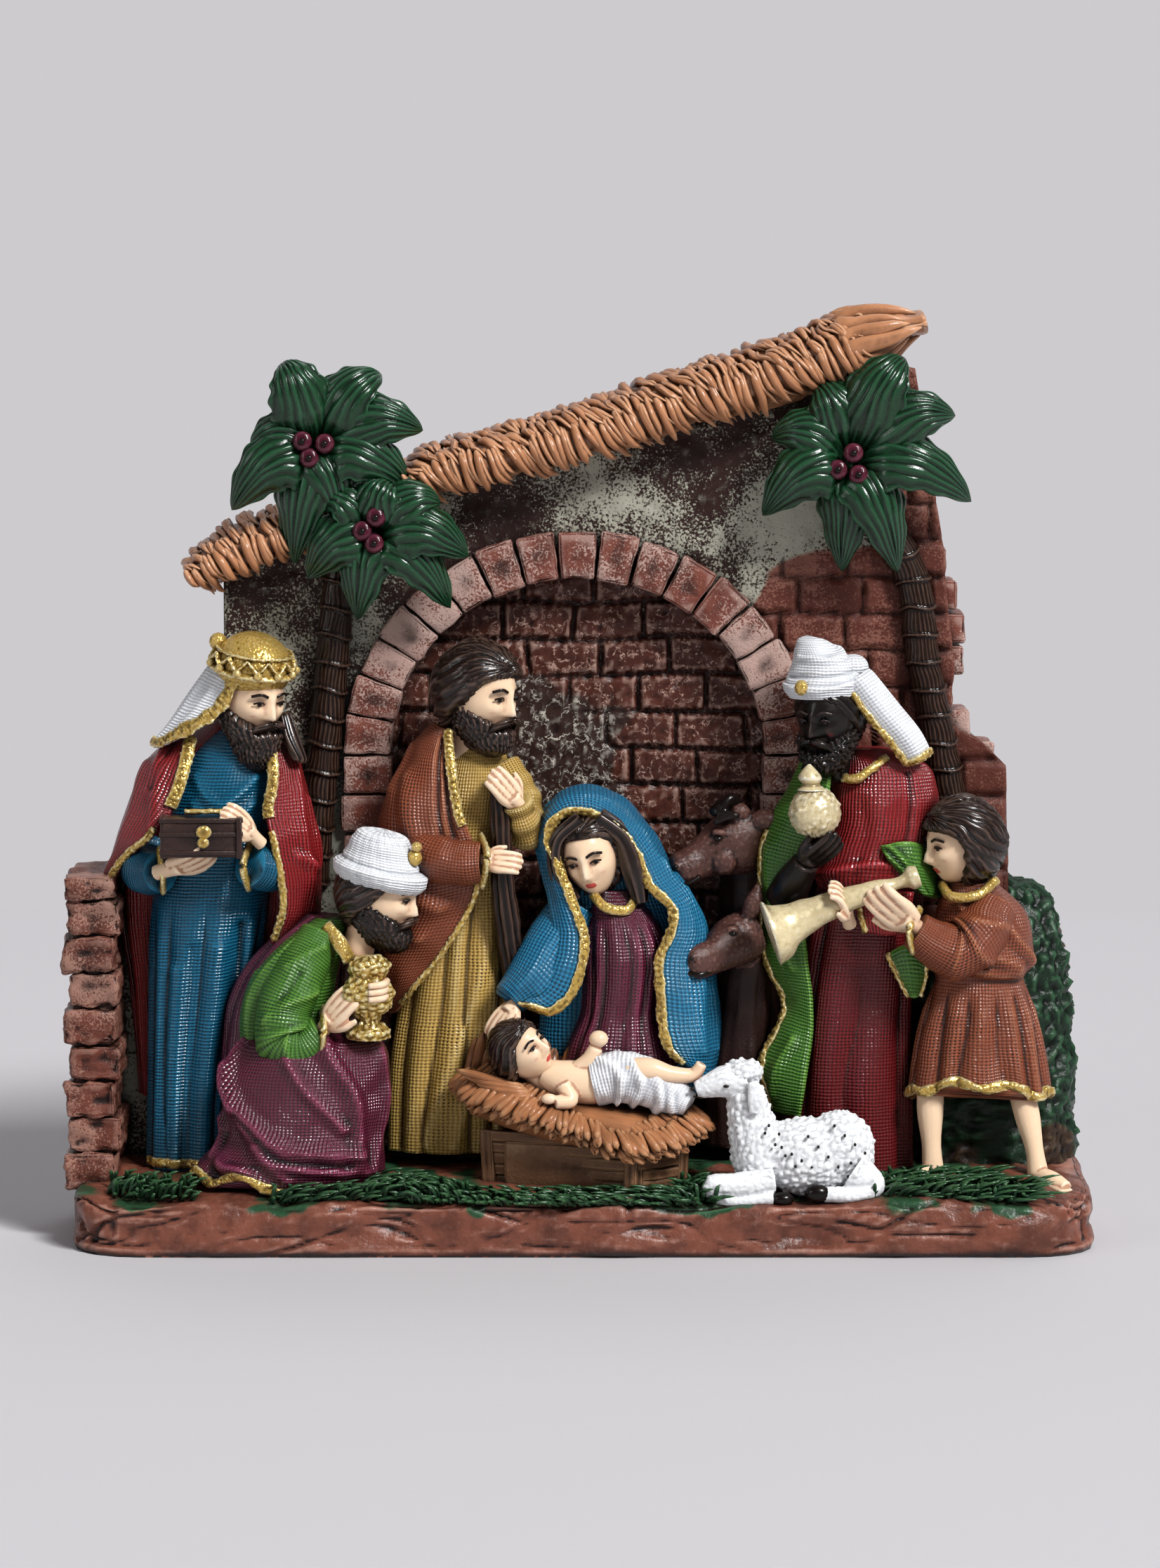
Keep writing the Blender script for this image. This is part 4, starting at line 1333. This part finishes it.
def make_shepherd():
    """The boy: tunic, sleeves, hands, horn, head, hair, legs and feet."""
    x, y = SHEPHERD_X, SHEPHERD_Y
    ground = ground_at(y)
    hem = ground + SHEPHERD_HEM_HEIGHT
    shoulder = ground + SHEPHERD_SHOULDER_HEIGHT
    waist = (hem + shoulder) / 2 + 0.0010
    tunic = sweep("shepherd_tunic", "rust", [
        ((x, y, hem), SHEPHERD_HEM_HALF_WIDTH, SHEPHERD_HEM_HALF_DEPTH),
        ((x, y, hem + (waist - hem) * 0.6), SHEPHERD_HEM_HALF_WIDTH * 0.86, SHEPHERD_HEM_HALF_DEPTH * 0.92),
        ((x, y, waist), SHEPHERD_WAIST_HALF_WIDTH, SHEPHERD_WAIST_HALF_DEPTH),
        ((x, y, waist + (shoulder - waist) * 0.45), SHEPHERD_WAIST_HALF_WIDTH * 1.05,
         SHEPHERD_WAIST_HALF_DEPTH * 1.05),
        ((x, y, shoulder), SHEPHERD_WAIST_HALF_WIDTH * 0.55, SHEPHERD_WAIST_HALF_DEPTH * 0.75),
    ], end=0.0020)
    head_centre = Vector((x - SHEPHERD_HEAD_HALF_WIDTH * 0.55, y,
                          shoulder + SHEPHERD_HEAD_HALF_HEIGHT * 1.25))
    face = head("shepherd_head", "skin", head_centre, SHEPHERD_HEAD_HALF_WIDTH, SHEPHERD_HEAD_HALF_HEIGHT,
                0.0024,
                -0.0010)
    hair = ball("shepherd_hair", "dark_hair", head_centre + Vector((SHEPHERD_HEAD_HALF_WIDTH * 0.45,
                                                                    BITE * 0.5,
                                                                    SHEPHERD_HEAD_HALF_HEIGHT * 0.22)),
                (SHEPHERD_HAIR_RADIUS, SHEPHERD_HAIR_RADIUS, SHEPHERD_HEAD_HALF_HEIGHT * 1.05))
    mouth = head_centre + Vector((-SHEPHERD_HEAD_HALF_WIDTH * 1.25, -SHEPHERD_HORN_FORWARD,
                                  -SHEPHERD_HEAD_HALF_HEIGHT * 0.55))
    bell = mouth + Vector((-HORN_LENGTH, -BITE, -HORN_RISE * 1.1))
    middle = bell + (mouth - bell) * 0.42 - UP * BITE * 0.3
    horn = sweep("shepherd_horn", "gold", [
        (bell, HORN_BELL_RADIUS, HORN_BELL_RADIUS),
        (bell + (mouth - bell) * 0.10, HORN_BELL_RADIUS * 0.72, HORN_BELL_RADIUS * 0.72),
        (middle, HORN_TUBE_RADIUS * 1.7, HORN_TUBE_RADIUS * 1.7),
        (mouth, HORN_TUBE_RADIUS, HORN_TUBE_RADIUS),
    ])
    near_grip = bell + (mouth - bell) * 0.68
    far_grip = bell + (mouth - bell) * 0.42
    hands = []
    for name, grip, shoulder_x, elbow_drop in (("right", near_grip, -0.25, 1.2), ("left", far_grip, -0.80,
                                                                                  0.6)):
        hand = ball(f"shepherd_{name}_hand", "skin", grip + Vector((0.0006, -HORN_TUBE_RADIUS * 0.4,
                                                                   -SHEPHERD_HAND_RADIUS * 0.9)),
                    (SHEPHERD_HAND_RADIUS * 1.7, SHEPHERD_HAND_RADIUS * 1.3, SHEPHERD_HAND_RADIUS * 1.3),
                    sides=LIMB_SIDES)
        hands.append(hand)
        start = Vector((x + SHEPHERD_WAIST_HALF_WIDTH * shoulder_x, y - SHEPHERD_WAIST_HALF_DEPTH * 0.4,
                        shoulder - SHEPHERD_SLEEVE_RADIUS * 1.6))
        elbow = (start + grip) / 2 - UP * SHEPHERD_SLEEVE_RADIUS * elbow_drop
        fuse(tunic, limb("sleeve", "rust", [start, elbow, grip + (elbow - grip) * 0.25],
                         SHEPHERD_SLEEVE_RADIUS,
                         wrist=0.6))
    legs = []
    for name, side, toe in (("right", -1, -0.35), ("left", 1, 0.55)):
        knee = Vector((x + side * SHEPHERD_STANCE * 0.42, y, hem + SHEPHERD_LEG_RADIUS * 2))
        ankle = Vector((x + side * SHEPHERD_STANCE / 2, y - BITE, ground + SHEPHERD_LEG_RADIUS * 0.8))
        leg = limb(f"shepherd_{name}_leg", "skin", [knee, (knee + ankle) / 2, ankle], SHEPHERD_LEG_RADIUS,
                   wrist=0.72)
        toes = ankle + Vector((SHEPHERD_FOOT_LENGTH * toe, -SHEPHERD_FOOT_LENGTH * 0.85,
                               -SHEPHERD_LEG_RADIUS * 0.5))
        foot = sweep("foot", "skin", [
            (ankle + Vector((0.0, 0.0008, -SHEPHERD_LEG_RADIUS * 0.2)), SHEPHERD_LEG_RADIUS * 0.70,
             SHEPHERD_LEG_RADIUS * 0.7),
            (toes, SHEPHERD_LEG_RADIUS * 0.80, SHEPHERD_LEG_RADIUS * 0.5),
        ], sides=LIMB_SIDES, front=UP, start=0.0008, end=0.0012)
        legs.append(fuse(leg, foot))
    return [horn, *hands, face, hair, *legs, tunic]


def finish(piece):
    """Shades a piece smooth between its sharp edges and gives it a paint of its own."""
    piece.data.shade_smooth()
    piece.data.set_sharp_from_angle(angle=SHARP_ANGLE)
    own_paint = piece.data.materials[0].copy()
    own_paint.name = f"{piece.name}_paint"
    piece.data.materials[0] = own_paint


def main():
    """Builds every element and sets a seam between the neighbours."""
    clear_scene()
    thatch = make_thatch("thatch_roof", THATCH_LEFT_END_X, THATCH_RIGHT_END_X, THATCH_FRONT_Y, roof_line,
                         THATCH_PROFILE)
    eave = make_thatch("eave_thatch", EAVE_THATCH_LEFT_X, EAVE_THATCH_RIGHT_X, EAVE_THATCH_FRONT_Y, eave_line,
                       EAVE_THATCH_PROFILE)
    ring = make_ring()
    architecture = [make_base(), thatch, eave, make_wall(), make_niche(), ring, make_pier()]
    people = make_crib() + make_lamb() + make_kneeling_king() + make_shepherd() + make_mary()
    people += make_standing_king() + make_joseph() + make_magus() + make_beasts()
    palms = [
        make_crown("low_palm_crown", LOW_CROWN_X, LOW_CROWN_Y, LOW_CROWN_HEIGHT, LOW_CROWN_LEAVES),
        make_crown("high_palm_crown", HIGH_CROWN_X, HIGH_CROWN_Y, HIGH_CROWN_HEIGHT, HIGH_CROWN_LEAVES),
        make_crown("right_palm_crown", RIGHT_CROWN_X, RIGHT_CROWN_Y, RIGHT_CROWN_HEIGHT, RIGHT_CROWN_LEAVES),
        make_trunk("left_palm_trunk", LEFT_TRUNK_FOOT_X, LEFT_TRUNK_TOP_X, LEFT_TRUNK_HEIGHT),
        make_trunk("right_palm_trunk", RIGHT_TRUNK_FOOT_X, RIGHT_TRUNK_TOP_X, RIGHT_TRUNK_HEIGHT),
        make_bank(),
    ]
    pieces = architecture + people + palms
    nest(pieces)
    open_joints(ring)
    for piece in pieces:
        finish(piece)


if __name__ == "__main__":
    main()
